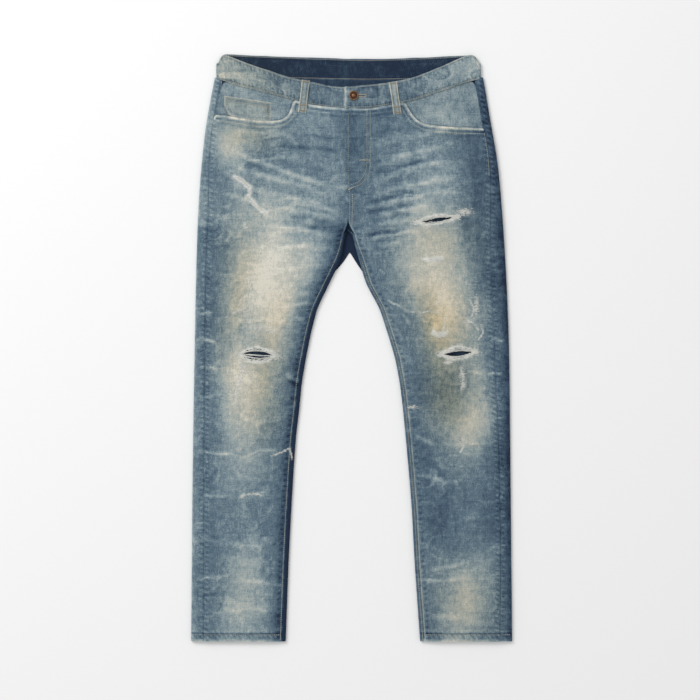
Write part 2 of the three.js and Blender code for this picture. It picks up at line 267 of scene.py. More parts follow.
# Small worn spots, where the white filling threads stand out: leg, X, Y, half width, half height.
WORN_SPOTS = (
    ("right", -184, 208, 3, 4), ("right", -156, 196, 5, 3), ("right", -156, 34, 15, 4),
    ("right", -188, -30, 5, 12), ("right", -196, -60, 3, 14), ("right", -186, -44, 6, 5),
    ("left", 152, 150, 5, 4), ("left", 154, 22, 11, 5), ("left", 218, 72, 4, 16),
    ("left", 205, 44, 7, 6), ("left", 193, -48, 4, 12), ("left", 196, -66, 4, 6),
    ("left", 196, 236, 14, 6), ("left", 106, -104, 9, 3), ("left", 168, -26, 8, 3),
)
# Worn lines, where the surface is rubbed through but not torn: leg, points, half width.
WORN_LINES = (
    ("right", ((-195, -26), (-190, -52), (-199, -67), (-202, -94)), 1.5),
    ("right", ((-170, 37), (-152, 30), (-136, 28), (-124, 35)), 1.4),
    ("right", ((-192, -262), (-180, -256), (-168, -255), (-158, -258)), 1.2),
    ("right", ((-140, -190), (-120, -182), (-108, -176), (-104, -194)), 1.1),
    ("right", ((-206, 60), (-190, 66), (-176, 60)), 0.8), ("right", ((-186, 216), (-184, 204)), 1.6),
    ("right", ((-162, 200), (-154, 192), (-148, 196)), 1.6),
    ("right", ((-178, 120), (-172, 96), (-180, 74)), 0.7),
    ("left", ((140, 24), (150, 18), (162, 20), (168, 30)), 1.3),
    ("left", ((190, -36), (196, -52), (192, -74)), 1.4),
    ("left", ((202, 50), (212, 42), (222, 30)), 1.2), ("left", ((150, 66), (164, 52), (160, 30)), 0.8),
    ("left", ((206, 84), (214, 66), (210, 54)), 1.1), ("left", ((226, 40), (230, 26), (222, 14)), 0.9),
    ("left", ((132, 156), (146, 150), (160, 154)), 1.2), ("left", ((120, 60), (136, 64), (150, 58)), 0.6),
    ("left", ((186, -162), (196, -172), (190, -184)), 0.8), ("left", ((152, 110), (158, 90), (150, 74)), 0.6),
)


# ---------------------------------------------------------------- relief and wash of the cloth
def line_field(x, y, start, end, width, bow=0.0):
    """How near a point is to a soft stroke from start to end: 1 on it, fading over its width."""
    ax, ay = start
    bx, by = end
    dx, dy = bx - ax, by - ay
    length = math.hypot(dx, dy)
    along = ((x - ax) * dx + (y - ay) * dy) / length**2
    across = ((y - ay) * dx - (x - ax) * dy) / length
    across = across - bow * 4 * along * (1 - along)
    taper = smooth(along / 0.25) * smooth((1 - along) / 0.25)
    return bell(across / width) * taper, across


# Main creases: start, end, width, height (a trough below zero), bleaching of the crest, bow.
CREASES = (
    # whiskers of the right hip and thigh, from the hip down to the crotch
    ((-236, 356), (-22, 276), 6, 0.9, 0.20, -4), ((-222, 322), (-12, 262), 6, 0.8, 0.20, -3),
    ((-240, 290), (-24, 246), 6, 0.6, 0.13, 0), ((-150, 262), (-10, 232), 5, 0.6, 0.14, 2),
    ((-138, 246), (-22, 222), 4, 0.5, 0.12, 2), ((-150, 214), (-24, 190), 5, 0.6, 0.16, 2),
    ((-136, 172), (-46, 174), 5, 0.6, 0.16, 3), ((-234, 271), (-170, 256), 5, 0.5, 0.14, 0),
    ((-206, 378), (-60, 364), 6, 0.5, 0.08, 0), ((-140, 353), (-14, 343), 3.5, -0.8, -0.18, 0),
    ((-124, 377), (-16, 364), 3.5, -0.6, -0.13, 0), ((-96, 212), (-16, 208), 5, -0.6, -0.16, 0),
    ((-150, 331), (-40, 306), 4, -0.5, -0.08, 0), ((-120, 232), (-20, 214), 4, -0.5, -0.1, 0),
    # whiskers of the left hip and thigh
    ((32, 350), (190, 384), 6, 0.5, 0.12, 3), ((30, 312), (196, 362), 6, 0.7, 0.16, 3),
    ((24, 284), (180, 330), 6, 0.7, 0.16, 3), ((20, 262), (200, 300), 6, 0.7, 0.16, 2),
    ((14, 243), (190, 274), 6, 0.7, 0.17, 2), ((14, 222), (150, 250), 5, 0.6, 0.15, 2),
    ((14, 204), (120, 226), 5, 0.6, 0.14, 2), ((20, 184), (122, 207), 4.5, 0.7, 0.2, 2),
    ((24, 170), (92, 184), 4.5, 0.5, 0.15, 1), ((20, 297), (150, 330), 4, -0.5, -0.1, 2),
    ((16, 250), (130, 268), 4, -0.6, -0.13, 2), ((16, 233), (110, 250), 3.5, -0.5, -0.12, 1),
    ((16, 192), (100, 206), 4, -0.6, -0.15, 1), ((34, 372), (96, 384), 4, -0.5, -0.08, 0),
    # inner knee and thigh
    ((59, 84), (98, 64), 2.2, 1.0, 0.34, 1.5), ((92, 66), (112, 62), 2.2, 0.6, 0.2, 0),
    ((86, 62), (104, 40), 4, 0.5, 0.12, 0), ((48, 138), (58, 128), 1.8, 0.4, 0.3, 0),
    ((-118, -44), (-88, -62), 5, 1.1, 0.24, 0), ((-112, -58), (-86, -70), 3, -1.2, -0.35, 0),
    ((-60, 98), (-118, 86), 4, 0.5, 0.12, 0), ((-66, 80), (-128, 70), 4, 0.5, 0.12, 0),
    ((-74, 52), (-136, 44), 4, 0.5, 0.1, 0), ((-150, 128), (-40, 148), 5, 0.4, 0.08, 2),
    # outer knee
    ((-274, 60), (-238, 61), 2.5, 0.7, 0.24, 0), ((-274, 14), (-232, 9), 2.6, 0.9, 0.26, 1),
    ((-270, -36), (-212, -35), 2.6, 0.9, 0.24, 1), ((-268, 40), (-240, 36), 4, -0.5, -0.1, 0),
    ((240, 16), (270, 13), 2.4, 0.8, 0.3, 0), ((236, -45), (266, -46), 2.4, 0.8, 0.32, 0),
    ((200, -42), (236, -46), 3, 0.5, 0.14, 0), ((-270, -90), (-236, -84), 3, 0.4, 0.14, 0),
    # shin and ankle
    ((-276, -183), (-200, -186), 3, 0.7, 0.16, 0), ((-196, -192), (-126, -176), 3, 0.6, 0.14, 2),
    ((-266, -258), (-204, -259), 3, 0.7, 0.16, 0), ((-198, -262), (-184, -253), 2.4, 0.6, 0.2, 0),
    ((-170, -255), (-150, -255), 2.4, 0.5, 0.18, 0), ((-278, -405), (-200, -398), 4, 0.7, 0.14, 2),
    ((-200, -408), (-114, -414), 4, 0.7, 0.14, 2), ((-250, -340), (-140, -352), 7, 0.5, 0.06, 2),
    ((-230, -460), (-130, -452), 7, 0.5, 0.06, -2), ((-274, -436), (-220, -428), 4, -0.5, -0.08, 0),
    ((126, -393), (214, -369), 4, 0.7, 0.14, -2), ((116, -412), (210, -404), 4, 0.6, 0.12, 2),
    ((240, -128), (274, -120), 3, 0.4, 0.12, 0), ((104, -152), (150, -172), 4, 0.5, 0.12, 1),
    ((108, -220), (170, -236), 6, 0.5, 0.08, 1), ((190, -300), (272, -288), 6, 0.5, 0.06, -1),
    ((240, -350), (278, -346), 3, 0.4, 0.12, 0), ((130, -470), (220, -476), 6, 0.5, 0.08, 1),
)
# Creases of the underside, in the seat, behind the knees and at the calves.
BACK_CREASES = (
    ((-230, 150), (-30, 205), 7, 1.0, 0.14, -5), ((-240, 118), (-60, 160), 7, 0.9, 0.12, -5),
    ((24, 205), (220, 150), 7, 1.0, 0.14, -5), ((50, 160), (236, 112), 7, 0.9, 0.12, -5),
    ((-262, 20), (-100, -12), 6, 1.1, 0.2, 5), ((-90, 24), (-250, -34), 6, 1.1, 0.2, 5),
    ((-264, -26), (-100, -60), 6, 1.0, 0.2, 5), ((-96, -30), (-256, -86), 6, 1.0, 0.18, 5),
    ((258, 24), (92, -10), 6, 1.1, 0.2, 5), ((84, 22), (250, -34), 6, 1.1, 0.2, 5),
    ((262, -24), (96, -58), 6, 1.0, 0.2, 5), ((90, -28), (256, -84), 6, 1.0, 0.18, 5),
    ((-260, -150), (-130, -170), 7, 0.7, 0.1, 3), ((130, -166), (262, -150), 7, 0.7, 0.1, 3),
    ((-262, -400), (-130, -388), 6, 0.7, 0.1, 3), ((136, -390), (268, -404), 6, 0.7, 0.1, 3),
)


CREASE_NARROWING = 0.8  # of a crease's listed width
SHIN = -150.0  # below this Y the crests of the creases are bleached more
CREST_BLEACH, SHIN_CREST_BLEACH = 1.4, 1.9


def jeans():
    return bpy.context.scene.jeans


def crease_relief(x, y, creases):
    """Height of all creases, and how far their crests are bleached."""
    height, bleach = np.zeros_like(x), np.zeros_like(x)
    wobble = 2.2 * noise(x, y, 26, 3) + 1.0 * noise(x, y, 9, 4)
    for start, end, width, rise, pale, bow in creases:
        near, across = line_field(x, y + wobble, start, end, CREASE_NARROWING * width, bow)
        beside = bell((np.abs(across) - 1.9 * width) / width) * near.clip(0.0, 1.0)
        height += rise * near
        crest = SHIN_CREST_BLEACH if start[1] < SHIN else CREST_BLEACH
        bleach += crest * pale * near * (0.75 + 0.45 * noise(x, y, 11, 5))
        height -= 0.25 * rise * beside
    return height, bleach


def fullness(leg, x, y):
    """The slight roundness of a laid leg, lowest at its seams and where the waistband holds it."""
    u = np.clip(leg.share(x, y), 0.0, 1.0)
    closed = smooth((CROTCH_TOP - y) / 90)
    across = np.where(u < 0.5, u * 2, mix(1.0, (1 - u) * 2, closed))
    knee = bell((y + 10) / 90) * bell((u - 0.5) / 0.25)
    flat_top = mix(2.0, 1.0, smooth((y - 150) / 160))
    return flat_top * smooth(across * 2.6) + 1.2 * knee


FOLD = 3.4  # how far in from a fold the cloth comes up to its full height
UNDER_LIFT = 0.35  # the underside clears the ground by its stitches
HEM_TURN = 14.0
ROPE_PITCH = 8.5  # from one slanting ridge of the hem to the next
FLY = {"edge": -8.0, "lift": 1.8, "high": 5.0, "low": 36.0, "bottom": 272.0, "whole": 286.0}


def fly_lap(x, y):
    across = smooth((FLY["low"] - x) / (FLY["low"] - FLY["high"]))
    return FLY["lift"] * across * smooth((y - FLY["bottom"]) / (FLY["whole"] - FLY["bottom"]))


def seam_gathers(x, y, distance, pitch=9.0):
    """Puckers along a seam, strongest a few millimetres from it."""
    beat = np.sin(TAU * (y + 0.35 * x + 2.5 * noise(x, y, 14, 21)) / pitch)
    return beat * bell((distance - 3.5) / 3.5)


def rolled(y):
    """1 where the inner fold of a leg is whole, 0 above the crotch."""
    return smooth((CROTCH_TOP - y) / (CROTCH_TOP - CROTCH_LOW))


def middle_height(y):
    return lift(y) + LEG_HEIGHT / 2 + 0.2


def crown(leg, x, y):
    """Height of the laid front, before it goes round its folds."""
    cloth = jeans().cloth
    held = smooth((418 - y) / 50)
    z = lift(y) + LEG_HEIGHT - 0.7 * (1 - held) + held * (0.5 + cloth.fullness * fullness(leg, x, y))
    z = z + cloth.creases * crease_relief(x, y, CREASES)[0] * (0.3 + 0.7 * held)
    rough = 3.0 * wash_wrinkles(x, y) + 0.35 * noise(x, y, 42, 31, 1.6)
    rough = rough + 0.22 * noise(x, y, 15, 32) + 0.08 * noise(x, y, 5, 33)
    z += rough * (0.25 + 0.75 * held)
    side, inner = np.abs(x - leg.at("seam", y)), np.abs(x - leg.at("inseam", y))
    on_leg = smooth((CROTCH_TOP - y) / 30)
    z += 0.28 * seam_gathers(x, y, side) * held + 0.3 * seam_gathers(x, y, inner, 8.0) * on_leg
    z -= 0.12 * bell(side / 1.4) + 0.3 * bell(inner / 1.4) * on_leg
    hem = y - HEM
    z += 0.5 * smooth((HEM_TURN + 1 - hem) / 2) - 0.9 * smooth((2.5 - hem) / 2.5)
    z += 0.3 * np.sin(TAU * (x + 0.8 * hem) / ROPE_PITCH) * bell((hem - 9) / 7)
    if leg is LEFT:
        z += fly_lap(x, y)
        on_seat = smooth((y - FLY["bottom"]) / 10)
        z += 0.4 * bell((x - 13) / 3) * on_seat * smooth((400 - y) / 20)
        z -= 0.6 * bell((x - 20) / 2.5) * smooth((y - 335) / 8) * smooth((402 - y) / 8)
    return z


def fold_share(distance):
    """Share of its height that the cloth has at this distance in from a fold."""
    return np.sqrt(np.clip(1 - (1 - np.clip(distance / FOLD, 0, 1)) ** 2, 0, 1))


def surface(leg, x, y):
    """Height of the laid front at a point, for panels and for all that is sewn on them."""
    at_outer = fold_share(np.abs(x - leg.at("outer", y)))
    at_inner = mix(1.0, fold_share(np.abs(x - leg.at("inner", y))), rolled(y))
    middle = middle_height(y)
    return middle + (crown(leg, x, y) - middle) * at_outer * at_inner


def underside(x, y):
    """Height of the cloth that lies on the ground, with the troughs of its creases."""
    z = lift(y) + UNDER_LIFT + np.maximum(jeans().cloth.creases * crease_relief(x, y, BACK_CREASES)[0], 0)
    return z + 0.12 * (1 + noise(x, y, 30, 35)) + 0.06 * (1 + noise(x, y, 8, 36))


# Bleached patches of each leg: share of the width from the outer fold, Y, reach across (share),
# reach along Y, bleach, and how far the patch is tinted tan.
PATCHES = {
    "right": (
        (0.46, 152, 0.13, 64, 0.27, 0.10), (0.50, 94, 0.15, 55, 0.28, 0.12),
        (0.28, 95, 0.10, 90, 0.20, 0.50),
        (0.68, 70, 0.12, 45, 0.12, 0.12), (0.66, 150, 0.16, 50, 0.16, 0.05),
        (0.20, 352, 0.09, 32, 0.30, 0.16),
        (0.34, 376, 0.14, 26, 0.12, 0.42), (0.44, 250, 0.25, 40, 0.10, 0.08),
        (0.35, -30, 0.08, 24, 0.22, 0.14),
        (0.46, -85, 0.14, 62, 0.38, 0.22), (0.68, -50, 0.13, 80, 0.16, 0.55),
        (0.74, 55, 0.10, 45, 0.24, 0.15),
        (0.82, 150, 0.07, 34, 0.16, 0.0), (0.52, -190, 0.16, 55, 0.14, 0.04),
        (0.56, -395, 0.16, 34, 0.16, 0.10), (0.54, -455, 0.22, 40, 0.20, 0.12),
        (0.04, -40, 0.05, 400, 0.10, 0.0),
        (0.10, 75, 0.07, 210, -0.08, 0.0), (0.66, -345, 0.1, 12, 0.10, 0.0),
    ),
    "left": (
        (0.42, 190, 0.17, 40, 0.24, 0.32), (0.46, 95, 0.18, 62, 0.30, 0.16),
        (0.40, 50, 0.14, 45, 0.20, 0.30),
        (0.62, 45, 0.10, 45, 0.16, 0.42), (0.58, -30, 0.17, 90, 0.14, 0.50),
        (0.5, -450, 0.3, 55, 0.12, 0.28),
        (0.56, 150, 0.2, 60, 0.12, 0.06), (0.42, 290, 0.22, 50, 0.10, 0.0),
        (0.30, -70, 0.09, 50, 0.20, 0.16), (0.34, -135, 0.13, 40, 0.26, 0.16),
        (0.58, -92, 0.13, 42, -0.05, 0.34),
        (0.48, -165, 0.15, 34, 0.16, 0.10), (0.96, -120, 0.05, 320, 0.10, 0.0),
        (0.46, -380, 0.22, 26, 0.10, 0.02),
        (0.50, -445, 0.22, 48, 0.24, 0.16), (0.62, -300, 0.16, 60, -0.10, 0.0),
        (0.80, 330, 0.20, 80, -0.10, 0.0),
        (0.28, 384, 0.10, 14, 0.20, 0.30), (0.18, 240, 0.08, 90, -0.08, 0.10),
    ),
}
BACK_PATCHES = (
    (0.50, 300, 0.26, 70, 0.24, 0.12), (0.50, 90, 0.2, 110, 0.14, 0.08), (0.50, -60, 0.25, 60, 0.08, 0.08),
    (0.50, -200, 0.2, 100, 0.16, 0.05), (0.5, -460, 0.3, 40, 0.16, 0.12),
)
# Bleaching of the unpatched cloth: shares of the width from the outer fold to the inner one, and
# the bleach at each.
GROUND = {
    # The right leg's last value, at its inner fold, is kept low partly as painted shade, since that side of
    # the fold faces away from the lamp.
    "right": ((0, 0.08, 0.2, 0.5, 0.72, 0.84, 0.93, 1), (0.40, 0.35, 0.38, 0.44, 0.41, 0.36, 0.20, -0.06)),
    "left": ((0, 0.06, 0.2, 0.5, 0.72, 0.86, 0.94, 1), (-0.04, 0.21, 0.31, 0.42, 0.38, 0.33, 0.34, 0.24)),
}


PATCH_SPREAD = 1.35  # of a patch's listed reach


def wash_wrinkles(x, y):
    """Fine random wrinkles: pale on the crest, darker beside it."""
    total = np.zeros_like(x)
    for cell, seed, strength in ((21, 91, 0.12), (13, 92, 0.09), (34, 93, 0.11)):
        wrinkle = noise(x + 5 * noise(x, y, 9, seed + 3), y, cell * 1.7, seed, 0.55)
        total += strength * (bell(wrinkle / 0.07) - 0.6 * bell((wrinkle - 0.16) / 0.08))
    return total * (0.5 + 0.5 * noise(x, y, 45, 49))


def wash(leg, x, y, side):
    """Bleach and tan of the cloth on the front or under, both from 0 to 1."""
    u = leg.share(x, y)
    on_seat = smooth((y - CROTCH_TOP + 20) / 60)
    fade = np.interp(mix(u, np.minimum(u, 0.66), on_seat), *GROUND[leg.name])
    fade += 0.03 * on_seat - 0.12 * on_seat * bell((x - CENTRE - 4) / 14)
    tint = np.zeros_like(x)
    patches = PATCHES[leg.name] if side == TOP else BACK_PATCHES
    u_wavy = u + 0.035 * noise(x, y, 34, 41, 2.0) + 0.02 * noise(x, y, 13, 42, 2.0)
    y_wavy = y + 9 * noise(x, y, 38, 43)
    for share, place, across, along, pale, tan in patches:
        near = bell((u_wavy - share) / (PATCH_SPREAD * across))
        near = near * bell((y_wavy - place) / (PATCH_SPREAD * along))
        fade += pale * near
        tint += tan * near
    creases = CREASES if side == TOP else BACK_CREASES
    fade += crease_relief(x, y, creases)[1]
    fade += 0.045 * noise(x, y, 60, 44) + 0.045 * noise(x, y, 22, 45, 1.8) + 0.04 * noise(x, y, 7, 46)
    fade += wash_wrinkles(x, y)
    hem = y - HEM
    worn_edge = 0.30 * smooth((4.0 - hem) / 2) * (1 + 0.4 * noise(x, y, 9, 48))
    ropes = 0.12 * np.sin(TAU * (x + 0.8 * hem) / ROPE_PITCH) * bell((hem - 10) / 6)
    fade += worn_edge + ropes
    fade -= 0.20 * bell((hem - HEM_TURN) / 1.8) - 0.10 * bell((hem - HEM_TURN - 4) / 2)
    return fade, tint


def seam_wear_and_shade(leg, x, y):
    """Pale ridges and dark notches that the wash leaves along the two leg seams, and painted shade on the
    strip past the inseam, strong on the right leg.
    """
    on_leg = smooth((CROTCH_TOP + 5 - y) / 12)
    side = x - leg.at("seam", y)
    inward = (x - leg.at("inseam", y)) * leg.sign
    wear = 0.14 * seam_gathers(x, y, np.abs(side) - 1.5, 8.5) - 0.07 * bell(side / 1.3)
    notch = 0.5 - 0.5 * np.sin(TAU * (y + 3 * noise(x, y, 17, 22)) / 9.5)
    wear -= 0.22 * notch**2 * bell((inward - 7) / 3.2) * on_leg
    wear += 0.18 * bell((inward - 1.3) / 1.1) * on_leg
    # Darker strip past the inseam, strongest on the right leg, whose inner fold faces away from the lamp:
    # painted shade.
    wear -= (0.20 if leg is RIGHT else 0.04) * smooth((-0.5 - inward) / 1.5) * on_leg
    return wear


# ---------------------------------------------------------------- making meshes
def new_object(name, mesh):
    piece = bpy.data.objects.new(name, mesh)
    bpy.context.scene.collection.objects.link(piece)
    return piece


def stand_for(piece, slot, *nodes):
    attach(piece, "root")
    if nodes:
        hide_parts(*nodes)


def declare_cloth(node):
    """Reads the box of a cloth piece's solid, and does nothing with it."""
    low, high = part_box(node)


def store(mesh, name, values):
    layer = mesh.attributes.new(name, "FLOAT", "POINT")
    layer.data.foreach_set("value", np.asarray(values, np.float32))


def mesh_of(name, points, faces, materials, face_material=None, sharp_angle=50.0):
    """A smooth mesh from points in millimetres. Faces may be an array of quads or a list."""
    mesh = bpy.data.meshes.new(name)
    mesh.from_pydata((np.asarray(points) * MM).tolist(), [], [list(face) for face in faces])
    for material in materials:
        mesh.materials.append(material)
    if face_material is not None:
        mesh.polygons.foreach_set("material_index", np.asarray(face_material, np.int32))
    mesh.polygons.foreach_set("use_smooth", np.ones(len(mesh.polygons), bool))
    mesh.update()
    mesh.set_sharp_from_angle(angle=math.radians(sharp_angle))
    return mesh


def grid_faces(rows, columns, closed=False):
    """Quads of a grid of points stored row by row, its columns closed to a ring if asked."""
    index = np.arange(rows * columns).reshape(rows, columns)
    right = np.roll(index, -1, axis=1)
    last = columns if closed else columns - 1
    corners = [index[:-1, :last], right[:-1, :last], right[1:, :last], index[1:, :last]]
    return np.stack(corners, -1).reshape(-1, 4)


def shell(name, points, faces, values, thickness, materials):
    """A closed shell: the outer face as given, an inner face behind it and a rim between them.

    The inner face takes the second material and the rim the third."""
    points = np.asarray(points, float)
    flat = bpy.data.meshes.new("flat")
    flat.from_pydata(points.tolist(), [], [list(face) for face in faces])
    flat.update()
    normals = np.empty(len(points) * 3, np.float32)
    flat.vertices.foreach_get("normal", normals)
    normals = normals.reshape(-1, 3)
    count = np.zeros(len(flat.edges), int)
    edge_of = {tuple(sorted(edge.vertices)): edge.index for edge in flat.edges}
    rim = []
    for face in faces:
        for a, b in zip(face, (*face[1:], face[0])):
            count[edge_of[(min(a, b), max(a, b))]] += 1
    for face in faces:
        for a, b in zip(face, (*face[1:], face[0])):
            if count[edge_of[(min(a, b), max(a, b))]] == 1:
                rim.append((b, a, a + len(points), b + len(points)))
    bpy.data.meshes.remove(flat)
    depth = np.broadcast_to(np.asarray(thickness, float), len(points))[:, None]
    inner = points - normals * depth
    inside = [tuple(i + len(points) for i in reversed(face)) for face in faces]
    all_faces = [tuple(face) for face in faces] + inside + rim
    kinds = [0] * len(faces) + [1] * len(faces) + [2] * len(rim)
    mesh = mesh_of(name, np.vstack([points, inner]), all_faces, materials, kinds)
    for key, row in values.items():
        store(mesh, key, np.concatenate([row, row]))
    return mesh


def cut_away(bm, kept):
    """Cuts a flat bmesh along the line where kept(x, y) is zero, and removes what lies below zero."""
    bm.verts.index_update()
    spots = np.array([vertex.co[:2] for vertex in bm.verts])
    values = kept(spots[:, 0], spots[:, 1])
    value_of = dict(zip(bm.verts, values))
    on_line = set()
    for edge in list(bm.edges):
        first, second = edge.verts
        a, b = value_of[first], value_of[second]
        if (a < 0) != (b < 0):
            share = min(max(a / (a - b), 0.02), 0.98)
            made = bmesh.utils.edge_split(edge, first, share)[1]
            value_of[made] = 0.0
            on_line.add(made)
    for face in list(bm.faces):
        found = [vertex for vertex in face.verts if vertex in on_line]
        if len(found) == 2 and len(face.verts) > 3:
            bmesh.utils.face_split(face, found[0], found[1])
    gone = [face for face in bm.faces if min(value_of[vertex] for vertex in face.verts) < 0]
    bmesh.ops.delete(bm, geom=gone, context="FACES")


def refine(bm, near):
    """Halves the faces where near(x, y) holds."""
    centres = np.array([face.calc_center_median()[:2] for face in bm.faces])
    chosen = near(centres[:, 0], centres[:, 1])
    edges = {edge for face, take in zip(bm.faces, chosen) if take for edge in face.edges}
    bmesh.ops.subdivide_edges(bm, edges=list(edges), cuts=1, use_grid_fill=True)


def points_and_faces(bm):
    bm.verts.index_update()
    points = np.array([vertex.co[:] for vertex in bm.verts])
    faces = [tuple(vertex.index for vertex in face.verts) for face in bm.faces]
    return points, faces


def bmesh_of(points, faces):
    bm = bmesh.new()
    vertices = [bm.verts.new(point) for point in points]
    for face in faces:
        bm.faces.new([vertices[i] for i in face])
    return bm


def distance_to_line(x, y, line, closed=False):
    """Distance from each point to a row of points joined up."""
    line = np.asarray(line, float)
    ends = np.roll(line, -1, axis=0) if closed else line[1:]
    starts = line if closed else line[:-1]
    best = np.full(np.shape(x), np.inf)
    for (ax, ay), (bx, by) in zip(starts, ends):
        dx, dy = bx - ax, by - ay
        t = np.clip(((x - ax) * dx + (y - ay) * dy) / max(dx * dx + dy * dy, 1e-9), 0, 1)
        best = np.minimum(best, np.hypot(x - ax - t * dx, y - ay - t * dy))
    return best


# ---------------------------------------------------------------- node groups and materials
def linear(hexcode):
    parts = [int(hexcode[i:i + 2], 16) / 255 for i in (0, 2, 4)]
    return tuple(c / 12.92 if c <= 0.04045 else ((c + 0.055) / 1.055) ** 2.4 for c in parts)


class Wiring:
    """Short ways to add and join shader nodes in one tree."""

    def __init__(self, tree):
        self.tree = tree

    def node(self, kind, **settings):
        made = self.tree.nodes.new(kind)
        for key, value in settings.items():
            setattr(made, key, value)
        return made

    def feed(self, target, source):
        if hasattr(source, "is_output"):
            self.tree.links.new(source, target)
        else:
            target.default_value = source

    def math(self, operation, first, second=0.0, clamp=False):
        made = self.node("ShaderNodeMath", operation=operation, use_clamp=clamp)
        self.feed(made.inputs[0], first)
        self.feed(made.inputs[1], second)
        return made.outputs[0]

    def blend(self, factor, first, second, how="MIX"):
        made = self.node("ShaderNodeMix", data_type="RGBA", blend_type=how)
        self.feed(made.inputs["Factor"], factor)
        self.feed(made.inputs[6], first)
        self.feed(made.inputs[7], second)
        return made.outputs[2]

    def noise(self, place, stretch, scale, detail=2.0):
        """Noise around zero, its pattern squeezed by the stretch on each axis."""
        mapping = self.node("ShaderNodeMapping")
        self.feed(mapping.inputs["Vector"], place)
        mapping.inputs["Scale"].default_value = stretch
        made = self.node("ShaderNodeTexNoise")
        self.feed(made.inputs["Vector"], mapping.outputs[0])
        made.inputs["Scale"].default_value = scale
        made.inputs["Detail"].default_value = detail
        return self.math("SUBTRACT", made.outputs["Fac"], 0.5)

    def wave(self, place, direction):
        """A sine from -1 to 1 across the direction, whose length is the turns in a metre."""
        turns = tuple(TAU * part for part in direction)
        made = self.node("ShaderNodeVectorMath", operation="DOT_PRODUCT")
        self.feed(made.inputs[0], place)
        made.inputs[1].default_value = turns
        return self.math("SINE", made.outputs["Value"])


def new_group(name, inputs, outputs):
    """An empty node group with these sockets, and its wiring, inputs and outputs."""
    tree = bpy.data.node_groups.new(name, "ShaderNodeTree")
    for label, kind, default in inputs:
        socket = tree.interface.new_socket(label, in_out="INPUT", socket_type=kind)
        socket.default_value = default
    for label, kind in outputs:
        tree.interface.new_socket(label, in_out="OUTPUT", socket_type=kind)
    wiring = Wiring(tree)
    return tree, wiring, wiring.node("NodeGroupInput"), wiring.node("NodeGroupOutput")


def washed_denim_group():
    """Indigo denim after washing: a bleach value becomes colour, roughness and twill relief."""
    name = "washed denim"
    if name in bpy.data.node_groups:
        return bpy.data.node_groups[name]
    dyes = jeans().dyes
    floats = "NodeSocketFloat"
    tree, w, given, made = new_group(
        name,
        [("Bleach", floats, 0.4), ("Tan", floats, 0.0), ("Nap", floats, 0.0), ("Slubs", floats, 1.0),
         ("Grain", floats, 1.0)],
        [("Color", "NodeSocketColor"), ("Roughness", floats), ("Height", floats)],
    )
    place = w.node("ShaderNodeTexCoord").outputs["Object"]
    slubs = w.noise(place, (1.0, 0.16, 1.0), 520, 2.0)
    weft = w.noise(place, (0.08, 1.0, 1.0), 420, 1.0)
    mottle = w.noise(place, (1.0, 0.7, 1.0), 135, 3.0)
    speck = w.noise(place, (1.0, 1.0, 1.0), 520, 2.0)
    streaks = w.math("ADD", w.math("MULTIPLY", slubs, 0.22), w.math("MULTIPLY", weft, 0.12))
    streaks = w.math("MULTIPLY", streaks, given.outputs["Slubs"])
    grain = w.math("ADD", w.math("MULTIPLY", mottle, 0.30), w.math("MULTIPLY", speck, 0.44))
    grain = w.math("MULTIPLY", grain, given.outputs["Grain"])
    level = w.math("ADD", w.math("ADD", given.outputs["Bleach"], streaks), grain, clamp=True)
    ramp = w.node("ShaderNodeValToRGB")
    w.feed(ramp.inputs["Fac"], level)
    stops = ((0.0, dyes.raw), (0.22, dyes.deep), (0.42, dyes.worn), (0.62, dyes.pale),
             (0.82, dyes.bleached), (1.0, dyes.white))
    while len(ramp.color_ramp.elements) < len(stops):
        ramp.color_ramp.elements.new(0.5)
    for element, (spot, color) in zip(ramp.color_ramp.elements, stops):
        element.position = spot
        element.color = (*color, 1.0)
    tanned = w.blend(given.outputs["Tan"], ramp.outputs["Color"], (*dyes.tan, 1.0), "MULTIPLY")
    fluff = w.noise(place, (0.16, 1.0, 1.0), 780, 1.0)
    patchy = w.math("ADD", w.math("MULTIPLY", fluff, 2.2), 1.0)
    nap = w.math("MULTIPLY", given.outputs["Nap"], patchy, clamp=True)
    color = w.blend(nap, tanned, (*dyes.weft, 1.0))
    twill = w.wave(place, (980, 620, 0))
    height = w.math("ADD", w.math("MULTIPLY", twill, 0.16), w.math("MULTIPLY", speck, 1.1))
    height = w.math("ADD", height, w.math("MULTIPLY", slubs, 0.9))
    height = w.math("ADD", height, w.math("MULTIPLY", w.math("MULTIPLY", fluff, nap), 2.0))
    w.feed(made.inputs["Color"], color)
    w.feed(made.inputs["Roughness"], w.math("ADD", w.math("MULTIPLY", mottle, 0.12), 0.9))
    w.feed(made.inputs["Height"], height)
    return tree


def twisted_thread_group():
    """Spun thread: colour that varies along the seam, and the relief of its twist."""
    name = "twisted thread"
    if name in bpy.data.node_groups:
        return bpy.data.node_groups[name]
    floats = "NodeSocketFloat"
    tree, w, given, made = new_group(
        name,
        [("Thread", "NodeSocketColor", (0.6, 0.55, 0.45, 1)),
         ("Faded", "NodeSocketColor", (0.8, 0.8, 0.75, 1)), ("Twist", floats, 1.0)],
        [("Color", "NodeSocketColor"), ("Roughness", floats), ("Height", floats)],
    )
    place = w.node("ShaderNodeTexCoord").outputs["Object"]
    patchy = w.noise(place, (1.0, 1.0, 1.0), 45, 3.0)
    fine = w.noise(place, (1.0, 1.0, 1.0), 900, 1.0)
    spread = w.math("ADD", w.math("MULTIPLY", fine, 1.2), 0.5)
    share = w.math("ADD", w.math("MULTIPLY", patchy, 2.6), spread, clamp=True)
    twist = w.wave(place, (1300, 1500, 0))
    w.feed(made.inputs["Color"], w.blend(share, given.outputs["Thread"], given.outputs["Faded"]))
    w.feed(made.inputs["Roughness"], w.math("ADD", w.math("MULTIPLY", fine, 0.2), 0.8))
    w.feed(made.inputs["Height"], w.math("MULTIPLY", w.math("ADD", twist, fine), given.outputs["Twist"]))
    return tree


